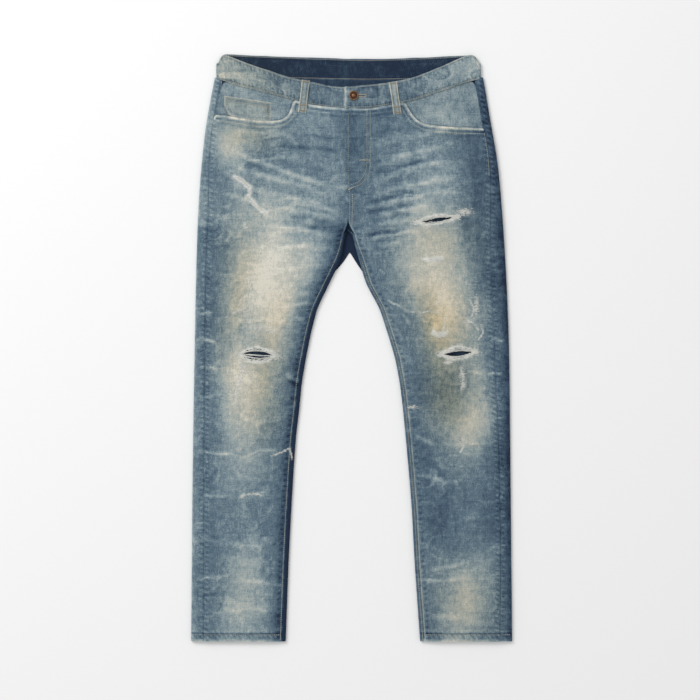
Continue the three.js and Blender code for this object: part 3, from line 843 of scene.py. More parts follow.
def new_material(name, tint):
    made = bpy.data.materials.new(name)
    made.use_nodes = True
    made.diffuse_color = (*tint, 1.0)
    wiring = Wiring(made.node_tree)
    shader = next(node for node in made.node_tree.nodes if node.type == "BSDF_PRINCIPLED")
    return made, wiring, shader


def add_relief(wiring, shader, height, depth):
    bump = wiring.node("ShaderNodeBump")
    bump.inputs["Strength"].default_value = 0.8
    bump.inputs["Distance"].default_value = depth
    wiring.feed(bump.inputs["Height"], height)
    wiring.feed(shader.inputs["Normal"], bump.outputs["Normal"])


# Each denim finish: bleach added, share of the bleach map used, tan share, slubs, grain.
DENIMS = {
    "front denim": (0.0, 1.0, 1.0, 1.0, 1.0),
    # The inner denim stays near the darkest dye, darker than the back of real denim: painted shade on the
    # inner faces seen through the holes and between the legs.
    "inner denim": (-0.02, 0.20, 0.0, 0.7, 0.5),
    "raw edge": (0.30, 0.6, 0.3, 1.0, 1.4),
    "waistband denim": (0.0, 1.0, 1.0, 1.1, 1.1),
    "pocket denim": (0.0, 1.0, 1.0, 1.0, 1.1),
}


def denim(name):
    if name in bpy.data.materials:
        return bpy.data.materials[name]
    added, share, tan_share, slubs, grain = DENIMS[name]
    made, w, shader = new_material(name, jeans().dyes.worn)
    cloth = w.node("ShaderNodeGroup", node_tree=washed_denim_group())
    maps = {key: w.node("ShaderNodeAttribute", attribute_name=key).outputs["Fac"]
            for key in ("bleach", "tan", "nap")}
    w.feed(cloth.inputs["Bleach"], w.math("ADD", w.math("MULTIPLY", maps["bleach"], share), added))
    w.feed(cloth.inputs["Tan"], w.math("MULTIPLY", maps["tan"], tan_share))
    w.feed(cloth.inputs["Nap"], maps["nap"])
    cloth.inputs["Slubs"].default_value = slubs
    cloth.inputs["Grain"].default_value = grain
    w.feed(shader.inputs["Base Color"], cloth.outputs["Color"])
    w.feed(shader.inputs["Roughness"], cloth.outputs["Roughness"])
    shader.inputs["Specular IOR Level"].default_value = 0.22
    add_relief(w, shader, cloth.outputs["Height"], 0.0004)
    return made


def thread(name):
    """Stitching in 'pale thread' or 'tan thread', and 'weft thread' for the frayed yarns."""
    if name in bpy.data.materials:
        return bpy.data.materials[name]
    threads = jeans().threads
    colors = {
        "pale thread": (threads.pale, threads.faded, 1.0),
        "tan thread": (threads.tan, threads.pale, 1.0),
        "weft thread": (threads.weft, threads.weft_shade, 0.5),
    }
    main_color, other, twist = colors[name]
    made, w, shader = new_material(name, main_color)
    yarn = w.node("ShaderNodeGroup", node_tree=twisted_thread_group())
    yarn.inputs["Thread"].default_value = (*main_color, 1.0)
    yarn.inputs["Faded"].default_value = (*other, 1.0)
    yarn.inputs["Twist"].default_value = twist
    w.feed(shader.inputs["Base Color"], yarn.outputs["Color"])
    w.feed(shader.inputs["Roughness"], yarn.outputs["Roughness"])
    shader.inputs["Specular IOR Level"].default_value = 0.25
    add_relief(w, shader, yarn.outputs["Height"], 0.0002)
    return made


def copper():
    name = "aged copper"
    if name in bpy.data.materials:
        return bpy.data.materials[name]
    metal = jeans().metal
    made, w, shader = new_material(name, metal.copper)
    place = w.node("ShaderNodeTexCoord").outputs["Object"]
    stain = w.noise(place, (1.0, 1.0, 1.0), 330, 4.0)
    fine = w.noise(place, (1.0, 1.0, 1.0), 1600, 2.0)
    worn = w.node("ShaderNodeAttribute", attribute_name="worn").outputs["Fac"]
    share = w.math("ADD", w.math("MULTIPLY", stain, 1.8), worn, clamp=True)
    w.feed(shader.inputs["Base Color"], w.blend(share, (*metal.tarnish, 1.0), (*metal.copper, 1.0)))
    w.feed(shader.inputs["Roughness"], w.math("SUBTRACT", 0.55, w.math("MULTIPLY", share, 0.2)))
    shader.inputs["Metallic"].default_value = 0.85
    add_relief(w, shader, w.math("ADD", stain, fine), 0.0002)
    return made


# ---------------------------------------------------------------- front panels
def steps(count, start=0.0, end=1.0):
    return np.linspace(start, end, count + 1)


def of_leg(table, leg):
    """The rows of a table that are for this leg, without the leg's name."""
    return [row[1:] for row in table if row[0] == leg.name]


def slit_gap(leg, x, y):
    """Distance outside the narrow slits of one leg, below zero within them."""
    best = np.full(np.shape(x), 99.0)
    for line, half in of_leg(SLITS, leg):
        near_end = np.minimum(*(np.hypot(x - px, y - py) for px, py in (line[0], line[-1])))
        width = half * (0.25 + 0.75 * smooth(near_end / 9)) * (1 + 0.5 * noise(x, y, 4, 51))
        best = np.minimum(best, distance_to_line(x, y, line) - width)
    return best


def opening_gap(leg, x, y):
    gaps = [rip.outside(x, y) for rip in RIPS[leg.name]] + [slit_gap(leg, x, y)]
    return np.minimum.reduce(gaps)


def nap_of(leg, x, y, side=TOP):
    """How far the white filling yarns show: along torn edges, in worn spots and at the hem."""
    if side == UNDER:
        return np.zeros_like(x)
    gap = opening_gap(leg, x, y)
    wavy = 1.0 + 0.6 * noise(x, y, 6, 52)
    nap = 0.95 * bell(np.maximum(gap, 0) / (3.2 * wavy))
    for px, py, half_x, half_y in of_leg(WORN_SPOTS, leg):
        spot = bell((x - px) / (0.8 * half_x)) * bell((y - py) / (0.8 * half_y))
        nap = np.maximum(nap, 0.85 * spot * smooth(0.6 + 1.2 * noise(x, y, 3.2, 53)))
    for line, half in of_leg(WORN_LINES, leg):
        near = bell(distance_to_line(x, y, line) / half) * smooth(0.75 + 0.9 * noise(x, y, 4, 56))
        nap = np.maximum(nap, 0.8 * near)
    return np.clip(nap, 0, 1)


def panel_finishes():
    """Outer face, inner face and cut edge of a panel; the inner face is dark with painted shade."""
    return denim("front denim"), denim("inner denim"), denim("raw edge")


def cloth_maps(leg, x, y, side=TOP):
    bleach, tan = wash(leg, x, y, side)
    if side == TOP:
        bleach = bleach + seam_wear_and_shade(leg, x, y)
    return {"bleach": bleach, "tan": np.clip(tan, 0, 1), "nap": nap_of(leg, x, y, side)}


def front_panel(leg):
    upper = upper_edge(leg)
    upper[:, 1] = softened(upper[:, 1], 3)
    columns, finish = 74, upper[:, 1].max() + 3
    rows = int((finish - HEM) / 2.8)
    across = steps(columns)
    across = mix(across, 0.5 - 0.5 * np.cos(math.pi * across), 0.5)
    y = np.repeat(steps(rows, HEM, finish)[:, None], columns + 1, 1)
    x = mix(leg.at("seam", y), leg.at("inseam", np.minimum(y, 405.0)), across[None, :])

    def above(px, py):
        sign = np.where(py > np.interp(px, upper[:, 0], upper[:, 1]), 1.0, -1.0)
        return sign * distance_to_line(px, py, upper)

    def kept(px, py):
        return np.minimum(1.2 - above(px, py), opening_gap(leg, px, py))

    flat = np.column_stack([x.ravel(), y.ravel(), np.zeros(x.size)])
    bm = bmesh_of(flat, grid_faces(rows + 1, columns + 1)[:, ::-int(leg.sign)])
    refine(bm, lambda px, py: (np.abs(opening_gap(leg, px, py)) < 7) | (np.abs(above(px, py)) < 4))
    cut_away(bm, kept)
    points, faces = points_and_faces(bm)
    bm.free()
    px, py = points[:, 0], points[:, 1]
    gap = opening_gap(leg, px, py)
    points[:, 2] = surface(leg, px, py) + 0.7 * bell(gap / 3) * (0.6 + noise(px, py, 5, 54))
    edge = np.abs(above(px, py))
    maps = cloth_maps(leg, px, py)
    ripple = 1 + 0.5 * noise(px, py, 7, 55)
    maps["bleach"] += (0.34 * bell((edge - 1) / 1.8) - 0.16 * bell((edge - 5.5) / 1.8)) * ripple
    maps["bleach"] += 0.10 * bell((edge - 9) / 1.8) * ripple - 0.10 * bell((edge - 13) / 3)
    points[:, 2] += 0.4 * bell((edge - 4) / 4) - 0.5 * bell(edge / 1.2)
    wall = jeans().cloth.wall / MM
    thickness = np.where(py < HEM + HEM_TURN, 1.8 * wall, wall)
    mesh = shell(f"front_{leg.name}", points, faces, maps, thickness, panel_finishes())
    piece = new_object(f"front_panel_{leg.name}", mesh)
    stand_for(piece, "front_denim", f"front_{leg.name}")
    declare_cloth(f"front_{leg.name}")


# ---------------------------------------------------------------- back panels and yokes
BAND_FRONT_ABOVE, BAND_BACK_BELOW = 4.3, 3.9  # heights that part the waistband's front from its back
SEAM_LEVEL, YOKE_LEVEL = 412.0, 470.0  # Y where the columns' places give the yoke's lower and upper edge
BACK_WALL, BACK_HEM_WALL = 0.9, 1.7  # shares of the denim's thickness


def back_column(leg, y, kind, share):
    """X and Z of one column of the back at the rows y."""
    sign, outer, middle = leg.sign, leg.at("outer", y), middle_height(y)
    seam = leg.at("seam", y)
    if kind == "flange":
        x = mix(seam - sign * 3.0, outer - sign * FOLD, share)
        past = (x - seam) * sign
        return x, surface(leg, x, y) - 1.9 * smooth((0.4 - past) / 1.4)
    if kind == "fold":
        angle = share * math.pi
        x = outer - sign * FOLD * (1 - math.sin(angle))
        if angle <= math.pi / 2:
            return x, middle + (crown(leg, x, y) - middle) * math.cos(angle) * mix(
                1.0, fold_share(np.abs(x - leg.at("inner", y))), rolled(y))
        return x, middle + (middle - underside(x, y)) * math.cos(angle)
    roll = rolled(y)
    tail = 4 * (1 - roll)
    centre_edge = CENTRE + sign * 0.15
    start = mix(centre_edge, leg.at("inner", y) + sign * FOLD, roll)
    if kind == "under":
        x = mix(outer - sign * FOLD, start + sign * tail, share)
        return x, underside(x, y)
    arc = roll * math.pi * FOLD
    flange = np.maximum(np.abs(leg.at("inseam", y) - leg.at("inner", y)) - FOLD, 0) * roll
    along = share * (tail + arc + flange + 2.5 * roll) - tail
    angle = np.clip(along, 0, arc) / FOLD
    past = np.maximum(along - arc, 0)
    x = start - sign * (np.minimum(along, 0) + FOLD * np.sin(angle) + past * np.cos(angle))
    top = crown(leg, x, y) - 2.4 * smooth((past - flange + 0.8) / 2.2)
    turn = np.cos(angle)
    return x, middle - np.where(turn > 0, (middle - underside(x, y)) * turn, (top - middle) * turn)


BACK_COLUMNS = (
    [("flange", s) for s in steps(8)] + [("fold", s) for s in steps(10)[1:]]
    + [("under", s) for s in steps(44)[1:]] + [("turn", s) for s in steps(20)[1:]]
)


def seam_line(node, of_low, low=-9.0, high=99.0):
    """The lower or upper edge of a node by X as a smooth line."""
    start, end = box(node)[0][0], box(node)[1][0]
    places = np.arange(start + 0.5, end - 0.4, 2.0)
    ends = filled(reach(node, 0, 1, places, low, high)[0 if of_low else 1])
    return np.column_stack([places, softened(ends, 3)])


def by_x(line, x):
    return np.interp(x, line[:, 0], line[:, 1])


def above_fold(kind, share):
    """Whether a column of the back lies on the upper side of the outer fold."""
    return kind == "flange" or (kind == "fold" and share < 0.5)


def back_maps(leg, x, y):
    top_maps, under_maps = cloth_maps(leg, x, y), cloth_maps(leg, x, y, UNDER)
    pick = np.array([float(kind == "turn" or above_fold(kind, share)) for kind, share in BACK_COLUMNS])
    maps = {key: mix(under_maps[key], top_maps[key], pick).ravel() for key in top_maps}
    edge = np.abs(x - leg.at("outer", y))
    maps["bleach"] += 0.10 * bell(edge / 2.5).ravel()
    return maps


def back_sheet(leg, name, y, node, thicker_hem=False):
    """A closed cloth shell over the columns of the back, for the rows of y given at each column."""
    x, z = np.empty_like(y), np.empty_like(y)
    for i, (kind, share) in enumerate(BACK_COLUMNS):
        x[:, i], z[:, i] = back_column(leg, y[:, i], kind, share)
    if thicker_hem:
        z = z + 0.25 * smooth((HEM_TURN - (y - HEM)) / 2) * (z < 2)
    points = np.column_stack([x.ravel(), y.ravel(), z.ravel()])
    faces = grid_faces(*y.shape)[:, ::int(leg.sign)]
    wall = jeans().cloth.wall / MM
    thickness = np.where(y.ravel() < HEM + HEM_TURN, BACK_HEM_WALL * wall, BACK_WALL * wall)
    mesh = shell(name, points, faces, back_maps(leg, x, y), thickness, panel_finishes())
    piece = new_object(name, mesh)
    stand_for(piece, "back_denim", node)
    declare_cloth(node)


def back_seam_heights(leg):
    """Y of the yoke seam at each column of the back."""
    line = seam_line(f"back_{leg.name}", False)
    at_seam = np.array([SEAM_LEVEL])
    return np.array([by_x(line, back_column(leg, at_seam, *column)[0])[0] for column in BACK_COLUMNS])


def back_panel(leg):
    seam = back_seam_heights(leg)
    rows = int((seam.min() - HEM) / 2.9)
    y = HEM + (seam[None, :] - HEM) * steps(rows)[:, None]
    back_sheet(leg, f"back_panel_{leg.name}", y, f"back_{leg.name}", thicker_hem=True)


# The sheet between the legs is painted shade: the back panels' cloth there, kept near the darkest dye so that
# it looks shaded.
CROTCH_TUCK = 6.0  # how far the cloth between the legs runs in under each leg
CROTCH_ARCH, ARCH_DROP = 166.0, 44.0  # Y of its lower edge at the middle, and how far it drops aside


def crotch_shade_cloth():
    """A dark sheet between the legs, below the centre seam, that stands for the back panels' cloth there in
    deep shade: painted shade.
    """
    across = steps(16, -1, 1)
    arch = CROTCH_ARCH - ARCH_DROP * np.abs(across) ** 1.3
    y = mix(arch[None, :], CROTCH_TOP + 2.0, steps(24)[:, None])
    right, left = RIGHT.at("inner", y) - CROTCH_TUCK, LEFT.at("inner", y) + CROTCH_TUCK
    x = mix(right, left, (across[None, :] + 1) / 2)
    z = 0.9 + lift(y) * 0.5 + 0.5 * smooth((y - 175) / 20) * bell((x - CENTRE) / 6)
    # Bleach far below zero, near the darkest dye: painted shade between the legs.
    maps = trim_maps(x, y, -0.25, 0.0, 95)
    points = np.column_stack([x.ravel(), y.ravel(), z.ravel()])
    mesh = shell("crotch_shade_cloth", points, grid_faces(*x.shape), maps, 0.5, (denim("inner denim"),) * 3)
    piece = new_object("crotch_shade_cloth", mesh)
    stand_for(piece, "back_denim")


def band_edges(of_low):
    """The waistband's lower or upper edge, along its front and along its back."""
    front = seam_line("waistband", of_low, BAND_FRONT_ABOVE)
    return front, seam_line("waistband", of_low, -9, BAND_BACK_BELOW)


def yoke(leg):
    seam = back_seam_heights(leg)
    node = f"yoke_{leg.name}"
    front_band, back_band = band_edges(True)
    tops = []
    for kind, share in BACK_COLUMNS:
        x = back_column(leg, np.array([YOKE_LEVEL]), kind, share)[0]
        tops.append(by_x(front_band if above_fold(kind, share) else back_band, x)[0] + 1.0)
    y = mix(seam[None, :] - 0.6, np.array(tops)[None, :], steps(26)[:, None])
    back_sheet(leg, f"back_yoke_{leg.name}", y, node)


# ---------------------------------------------------------------- waistband
BAND_HALF = 1.15  # half of its thickness
BAND_LEVEL = 490.0  # its middle at the side folds
BAND_LEFT_END, BAND_RIGHT_END = -10.5, 20.0
GATHER_PITCH = 7.5


class Band:
    """The ring of the waistband: for each station X, lower and upper Y, and height of its middle."""

    def __init__(self):
        self.front_low, self.back_low = band_edges(True)
        self.front_high, self.back_high = band_edges(False)
        self.front_z = SEAT_LIFT + LEG_HEIGHT - BAND_HALF
        self.back_z = SEAT_LIFT + BAND_HALF
        self.lap = box("waistband")[1][2] - SEAT_LIFT - LEG_HEIGHT

    def lap_lift(self, x):
        return self.lap * smooth((62.0 - x) / 38.0)

    def face(self, x):
        """Height of the band's front face."""
        return self.front_z + BAND_HALF + self.lap_lift(x) * (x > BAND_LEFT_END - 0.5)

    def stations(self):
        """Rows of X, low Y, high Y, Z and the turn of the face, from the right end to the left end."""
        rows = []
        for leg in (RIGHT, LEFT):
            end = BAND_RIGHT_END if leg is RIGHT else BAND_LEFT_END
            fold_at = float(leg.at("outer", BAND_LEVEL)) - leg.sign * FOLD
            front = []
            for x in steps(80, end, fold_at):
                z = self.front_z + (self.lap_lift(x) if leg is LEFT else 0.0)
                front.append((x, by_x(self.front_low, x), by_x(self.front_high, x), z, 0.0))
            half = (self.front_z - self.back_z) / 2
            centre = (self.front_z + self.back_z) / 2
            fold = []
            for angle in steps(14, 0, math.pi)[1:-1]:
                x = fold_at + leg.sign * (FOLD - BAND_HALF) * math.sin(angle)
                low = mix(by_x(self.front_low, fold_at), by_x(self.back_low, fold_at), angle / math.pi)
                high = mix(by_x(self.front_high, fold_at), by_x(self.back_high, fold_at), angle / math.pi)
                fold.append((x, low, high, centre + half * math.cos(angle), leg.sign * angle))
            back = [(x, by_x(self.back_low, x), by_x(self.back_high, x), self.back_z, leg.sign * math.pi)
                    for x in steps(60, fold_at, CENTRE)]
            part = front + fold + back
            rows.append(part if leg is RIGHT else part[-2::-1])
        return np.array(rows[0] + rows[1], float)


def band_beat(along, y):
    return TAU * along / GATHER_PITCH + 2 * noise(along, y, 30, 61)


def waistband():
    band = Band()
    rows = band.stations()
    # the section: share across the band from its lower edge, and 1 on its outside, -1 on its inside
    between = steps(16)[1:-1]
    share = np.concatenate([[0.0], between, [1.0], between[::-1]])
    offset = np.concatenate([[0.0], np.ones_like(between), [0.0], -np.ones_like(between)])
    points, u_list, v_list = [], [], []
    lengths = np.concatenate([[0], np.cumsum(np.hypot(np.diff(rows[:, 0]), np.diff(rows[:, 3])))])
    for (x, low, high, z, turn), along in zip(rows, lengths):
        height = high - low
        from_edge = np.minimum(share, 1 - share) * height
        round_off = np.sqrt(np.clip(1 - (1 - np.clip(from_edge / 1.6, 0, 1)) ** 2, 0, 1))
        half = BAND_HALF * (0.35 + 0.65 * round_off) * np.abs(offset)
        y = low + height * (0.03 + 0.94 * share) + (share - 0.5) * 1.5
        pull = 0.16 * np.sin(band_beat(along, y)) * bell((from_edge - 6) / 5)
        groove = -0.35 * bell((from_edge - 3.0) / 0.9)
        wave = 0.30 * noise(along, y, 24, 62) + 0.14 * noise(along, y, 8, 63)
        reach_out = np.sign(offset) * (half + np.where(offset > 0, pull + groove, 0.0)) + 0.3 * wave
        reach_out += 0.28 * bell((share - 0.5) / 0.35) * (offset > 0)
        y_wavy = y + 0.5 * noise(along, 0.0, 20, 64) * (np.abs(share - 0.5) > 0.45)
        px = x + reach_out * math.sin(turn)
        pz = z + reach_out * math.cos(turn)
        points.append(np.column_stack([px, y_wavy, pz]))
        u_list.append(np.full(len(share), along))
        v_list.append(from_edge)
    points = np.array(points)
    shape = points.shape[:2]
    ring = np.arange(shape[0] * shape[1]).reshape(shape)
    all_faces = [tuple(face) for face in grid_faces(*shape, closed=True)]
    # rounded ends: a shrunken copy of the end sections, then closed
    extra = []
    for row, back in ((0, 1), (shape[0] - 1, shape[0] - 2)):
        step = points[row] - points[back]
        step = step.mean(0) / np.linalg.norm(step.mean(0))
        centre = points[row].copy()
        centre[:, 2] = points[row][:, 2].mean()
        cap = mix(points[row], centre, 0.6) + step * 0.8
        base = shape[0] * shape[1] + len(extra)
        extra.extend(cap)
        ids = list(range(base, base + shape[1]))
        loop, size = ring[row], shape[1]
        quads = [(loop[j], loop[(j + 1) % size], ids[(j + 1) % size], ids[j]) for j in range(size)]
        if row == 0:
            quads = [tuple(reversed(quad)) for quad in quads]
        all_faces.extend(quads)
        for j in range(size // 2):
            a, b = ids[j], ids[j + 1]
            c, d = ids[(size - j - 1) % size], ids[(size - j) % size]
            quad = (a, b, c, d) if row else (d, c, b, a)
            all_faces.append(tuple(dict.fromkeys(quad)))
    vertices = np.vstack([points.reshape(-1, 3), np.array(extra)])
    along = np.concatenate([np.concatenate(u_list), np.zeros(len(extra))])
    edge = np.concatenate([np.concatenate(v_list), np.full(len(extra), 1.0)])
    inner = np.concatenate([np.tile(offset < 0, shape[0]), np.zeros(len(extra), bool)])
    x, y = vertices[:, 0], vertices[:, 1]
    on_back = vertices[:, 2] < band.back_z + 1.6
    side = np.abs(x - CENTRE) / 235
    bleach = 0.36 + 0.22 * smooth((side - 0.35) / 0.5) - 0.04 * (x > CENTRE)
    for cell, seed, strength in ((22, 96, 0.14), (12, 97, 0.09)):
        wrinkle = noise(along, y, cell * 1.8, seed, 0.4)
        bleach += strength * (bell(wrinkle / 0.09) - 0.8 * bell((wrinkle - 0.2) / 0.1))
    bleach += 0.20 * bell((edge - 0.4) / 1.3) - 0.14 * bell((edge - 3.4) / 1.2)
    bleach += 0.10 * np.sin(band_beat(along, y)) * bell((edge - 6) / 4)
    bleach += 0.07 * noise(along, y, 26, 65) + 0.05 * noise(along, y, 9, 66) + 0.05 * bell((edge - 16) / 8)
    bleach += 0.28 * bell((x + 11.5) / 2.0) * (vertices[:, 2] > band.front_z + 1)
    # The band's inside is kept dark, darker than the back of real denim: painted shade, with a paler rim at
    # its edges.
    bleach = np.where(inner, 0.05 * noise(along, y, 20, 67) + 0.30 * bell(edge), bleach)
    bleach = np.where(on_back & ~inner, bleach - 0.04, bleach)
    mesh = mesh_of("waistband", vertices, all_faces, (denim("waistband denim"),))
    store(mesh, "bleach", bleach)
    store(mesh, "tan", 0.10 + 0.25 * smooth((side - 0.2) / 0.5) * (x < CENTRE))
    store(mesh, "nap", np.zeros_like(x))
    bm = bmesh.new()
    bm.from_mesh(mesh)
    bmesh.ops.recalc_face_normals(bm, faces=bm.faces)
    bm.to_mesh(mesh)
    bm.free()
    piece = new_object("waistband_ring", mesh)
    stand_for(piece, "band_denim", "waistband")
    # The strip's mean height between its edges.
    height = np.mean(rows[:, 2] - rows[:, 1])


# ---------------------------------------------------------------- pockets, loops and button
def plate_grid(node, columns, rows, past_top=0.0):
    """X and Y of a grid that fills the outline of a flat solid, and the distance to its edge."""
    lower, upper = seam_line(node, True), seam_line(node, False)
    cad = box(node)
    across = steps(columns, cad[0][0], cad[1][0])
    down, up = by_x(lower, across), by_x(upper, across) + past_top
    y = mix(down[None, :], up[None, :], steps(rows)[:, None])
    x = np.repeat(across[None, :], rows + 1, 0)
    border = np.column_stack([np.append(across, across[::-1]), np.append(down, up[::-1])])
    edge = distance_to_line(x.ravel(), y.ravel(), border, closed=True).reshape(x.shape)
    return x, y, edge


def trim_maps(x, y, bleach, tan, seed):
    spread = 0.07 * noise(x, y, 24, seed) + 0.05 * noise(x, y, 9, seed + 1)
    return {"bleach": (bleach + spread).ravel(), "tan": np.full(x.size, tan), "nap": np.zeros(x.size)}


def flat_piece(name, node, slot, x, y, z, maps, wall, downward=False):
    faces = grid_faces(*x.shape)
    if downward:
        faces = faces[:, ::-1]
    points = np.column_stack([x.ravel(), y.ravel(), z.ravel()])
    # The inner faces take the dark inner denim: painted shade.
    materials = (denim("pocket denim"), denim("inner denim"), denim("raw edge"))
    mesh = shell(name, points, faces, maps, wall, materials)
    piece = new_object(name, mesh)
    stand_for(piece, slot, node)
    declare_cloth(node)


def facing_height(leg, x, y):
    sag = 0.5 * bell((y - 405) / 18) + 0.25 * (1 + noise(x, y, 26, 71))
    return surface(leg, x, y) - 1.75 - sag


def pocket_facing(leg):
    node = f"pocket_facing_{leg.name}"
    x, y = plate_grid(node, 64, 34, past_top=1.0)[:2]
    z = facing_height(leg, x, y)
    maps = trim_maps(x, y, 0.45 + 0.10 * bell((x - CENTRE) * leg.sign / 60 - 2.9), 0.08, 72)
    maps["bleach"] += 0.6 * wash_wrinkles(x, y).ravel()
    # Darker along the pocket mouth: painted shade under the front panel's edge.
    near = distance_to_line(x.ravel(), y.ravel(), mouth_line(leg))
    maps["bleach"] = maps["bleach"] - 0.16 * bell(near / 3.0)
    flat_piece(f"facing_cloth_{leg.name}", node, "trim_denim", x, y, z, maps, 0.8)


def coin_height(x, y):
    return facing_height(RIGHT, x, y) + 1.15


def coin_pocket():
    x, y, edge = plate_grid("coin_pocket", 40, 24)
    z = coin_height(x, y) - 0.7 * bell(edge / 0.9) + 0.12 * noise(x, y, 10, 74)
    maps = trim_maps(x, y, 0.58, 0.28, 75)
    maps["bleach"] += 0.22 * bell(edge.ravel() / 1.4) - 0.10 * bell((edge.ravel() - 5.5) / 1.4)
    flat_piece("coin_pocket_cloth", "coin_pocket", "trim_denim", x, y, z, maps, 0.9)


def back_pocket(leg):
    node = f"back_pocket_{leg.name}"
    x, y, edge = plate_grid(node, 70, 76)
    top = box(node)[1][1]
    z = 0.55 + 0.55 * bell(edge / 1.1) + 0.10 * (1 + noise(x, y, 18, 77)) + 0.12 * bell((edge - 5) / 1.2)
    z -= 0.12 * bell((edge - 3) / 0.8)
    pale = 0.16 * bell((x - box(node)[:, 0].mean()) / 60) * bell((y - top + 90) / 70)
    maps = trim_maps(x, y, 0.50 + pale, 0.12, 78)
    worn = 0.26 * bell(edge / 1.6) - 0.14 * bell((edge - 5) / 1.6) + 0.10 * bell((edge - 11) / 4)
    maps["bleach"] += worn.ravel()
    maps["nap"] += 0.5 * (bell(edge / 0.9) * smooth(0.3 + noise(x, y, 9, 79))).ravel()
    flat_piece(f"back_pocket_cloth_{leg.name}", node, "back_denim", x, y, z, maps, 0.9, downward=True)


def back_loop(node, seed):
    x, y, edge = plate_grid(node, 12, 44)
    z = 0.5 + 0.6 * bell(edge / 0.9)
    maps = trim_maps(x, y, 0.56, 0.1, seed)
    maps["bleach"] += 0.24 * bell(edge.ravel() / 1.2) - 0.12 * bell((edge.ravel() - 3) / 1.0)
    flat_piece(f"{node}_strip", node, "trim_denim", x, y, z, maps, 1.0, downward=True)


class FrontLoop:
    """A front belt loop: its two ends, and its height along its length."""

    def __init__(self, leg):
        self.leg, self.node = leg, f"belt_loop_front_{leg.name}"
        cad = box(self.node)
        self.high, self.low = cad[1][1] - 1, cad[0][1] + 1
        ends = reach(self.node, 1, 0, [self.low + 4, self.high - 4])
        low_x, high_x = ends.mean(0)
        slope = (high_x - low_x) / (self.high - self.low - 8)
        self.start = np.array([low_x - 4 * slope, self.low])
        self.end = np.array([high_x + 4 * slope, self.high])
        self.half = (ends[1] - ends[0]).mean() / 2
        self.floor = SEAT_LIFT + LEG_HEIGHT

    def at(self, t, across):
        """Point on the loop's face: t from the lower end, across in millimetres from its middle."""
        t = np.asarray(t, float)
        direction = (self.end - self.start) / np.linalg.norm(self.end - self.start)
        x = mix(self.start[0], self.end[0], t) + across * direction[1]
        y = mix(self.start[1], self.end[1], t) - across * direction[0]
        held = np.minimum(t, 1 - t)
        z = self.floor + 1.3 + 2.3 * smooth(held * 4.2) - 0.9 * smooth((0.05 - held) / 0.05)
        z = z - 0.35 * bell((t - 0.12) / 0.05)
        return x, y, z


def front_loop(leg):
    loop = FrontLoop(leg)
    t, across = np.meshgrid(steps(52), steps(14, -1, 1), indexing="ij")
    narrow = loop.half * (1 - 0.06 * bell((t - 0.5) / 0.3))
    x, y, z = loop.at(t, across * narrow)
    edge = (1 - np.abs(across)) * loop.half
    z = z - 0.8 * bell(edge / 0.9) - 0.25 * bell((edge - 2.6) / 0.7) + 0.2 * noise(x, y, 7, 81)
    maps = trim_maps(x, y, 0.60, 0.22, 82)
    maps["bleach"] += (0.26 * bell(edge / 1.3) - 0.16 * bell((edge - 3.2) / 1.1)).ravel()
    flat_piece(f"{loop.node}_strip", loop.node, "trim_denim", x, y, z, maps, 1.3)


def button():
    cad = box("button")
    middle, radius, foot, top = cad.mean(0), (cad[1][0] - cad[0][0]) / 2, cad[0][2], cad[1][2]
    head = top - 2.4
    # radius, height, and how bright the metal is worn
    profile = ((0.0, foot, 0.0), (2.4, foot, 0), (2.4, head - 0.1, 0), (radius - 1.6, head - 0.1, 0),
               (radius - 0.5, head + 0.2, 0), (radius, head + 0.9, 0.1), (radius - 0.15, head + 1.6, 0.45),
               (radius - 0.7, head + 2.15, 0.6), (radius - 1.3, head + 2.3, 0.6),
               (radius - 1.8, head + 2.1, 0.3), (radius - 2.3, head + 1.75, -0.2),
               (radius - 3.0, head + 1.7, -0.3), (radius - 3.6, head + 1.8, -0.3), (3.4, head + 1.75, -0.1),
               (2.9, head + 1.95, 0.2), (2.2, head + 2.25, 0.5), (1.2, head + 2.4, 0.5),
               (0.05, head + 2.4, 0.5))
    sides = 56
    turn = steps(sides, 0, TAU)[:-1]
    dent = 1 + 0.012 * np.sin(3 * turn + 1)
    rings = []
    for r, z, worn in profile:
        x, y = middle[0] + r * dent * np.cos(turn), middle[1] + r * dent * np.sin(turn)
        rings.append(np.column_stack([x, y, z + 0.05 * np.sin(2 * turn) * (r > 3)]))
    faces = grid_faces(len(profile), sides, closed=True)
    mesh = mesh_of("button", np.vstack(rings), faces, (copper(),), sharp_angle=60)
    store(mesh, "worn", np.repeat([worn for r, z, worn in profile], sides))
    piece = new_object("tack_button", mesh)
    stand_for(piece, "button_metal", "button")


# ---------------------------------------------------------------- stitching
STITCH_SHARE = 0.74  # of the pitch that a stitch covers
STITCH_SIDES = 5
ROW_START = 0.3  # bare length before the first stitch of a row
TACK_HALF = 1.3  # half length of the stitches of a bar tack


def mouth_line(leg):
    """The pocket mouth as points from the side seam to the waistband."""
    upper = upper_edge(leg)
    upper[:, 1] = softened(upper[:, 1], 3)
    band = by_x(seam_line("waistband", True, BAND_FRONT_ABOVE), upper[:, 0])
    return upper[upper[:, 1] < band - 1.6]


def beside(line, distance):
    """The line moved sideways, to its left where the distance is above zero."""
    line = np.asarray(line, float)
    run = np.gradient(line, axis=0)
    run = np.column_stack([softened(run[:, 0], 2), softened(run[:, 1], 2)]) if len(line) > 14 else run
    run /= np.maximum(np.linalg.norm(run, axis=1), 1e-6)[:, None]
    return line + np.column_stack([-run[:, 1], run[:, 0]]) * distance


def even(line, step=1.0):
    """The line resampled at an even step."""
    line = np.asarray(line, float)
    lengths = np.concatenate([[0], np.cumsum(np.linalg.norm(np.diff(line, axis=0), axis=1))])
    places = np.linspace(0, lengths[-1], max(int(lengths[-1] / step), 1) + 1)
    return np.column_stack([np.interp(places, lengths, line[:, i]) for i in range(line.shape[1])])


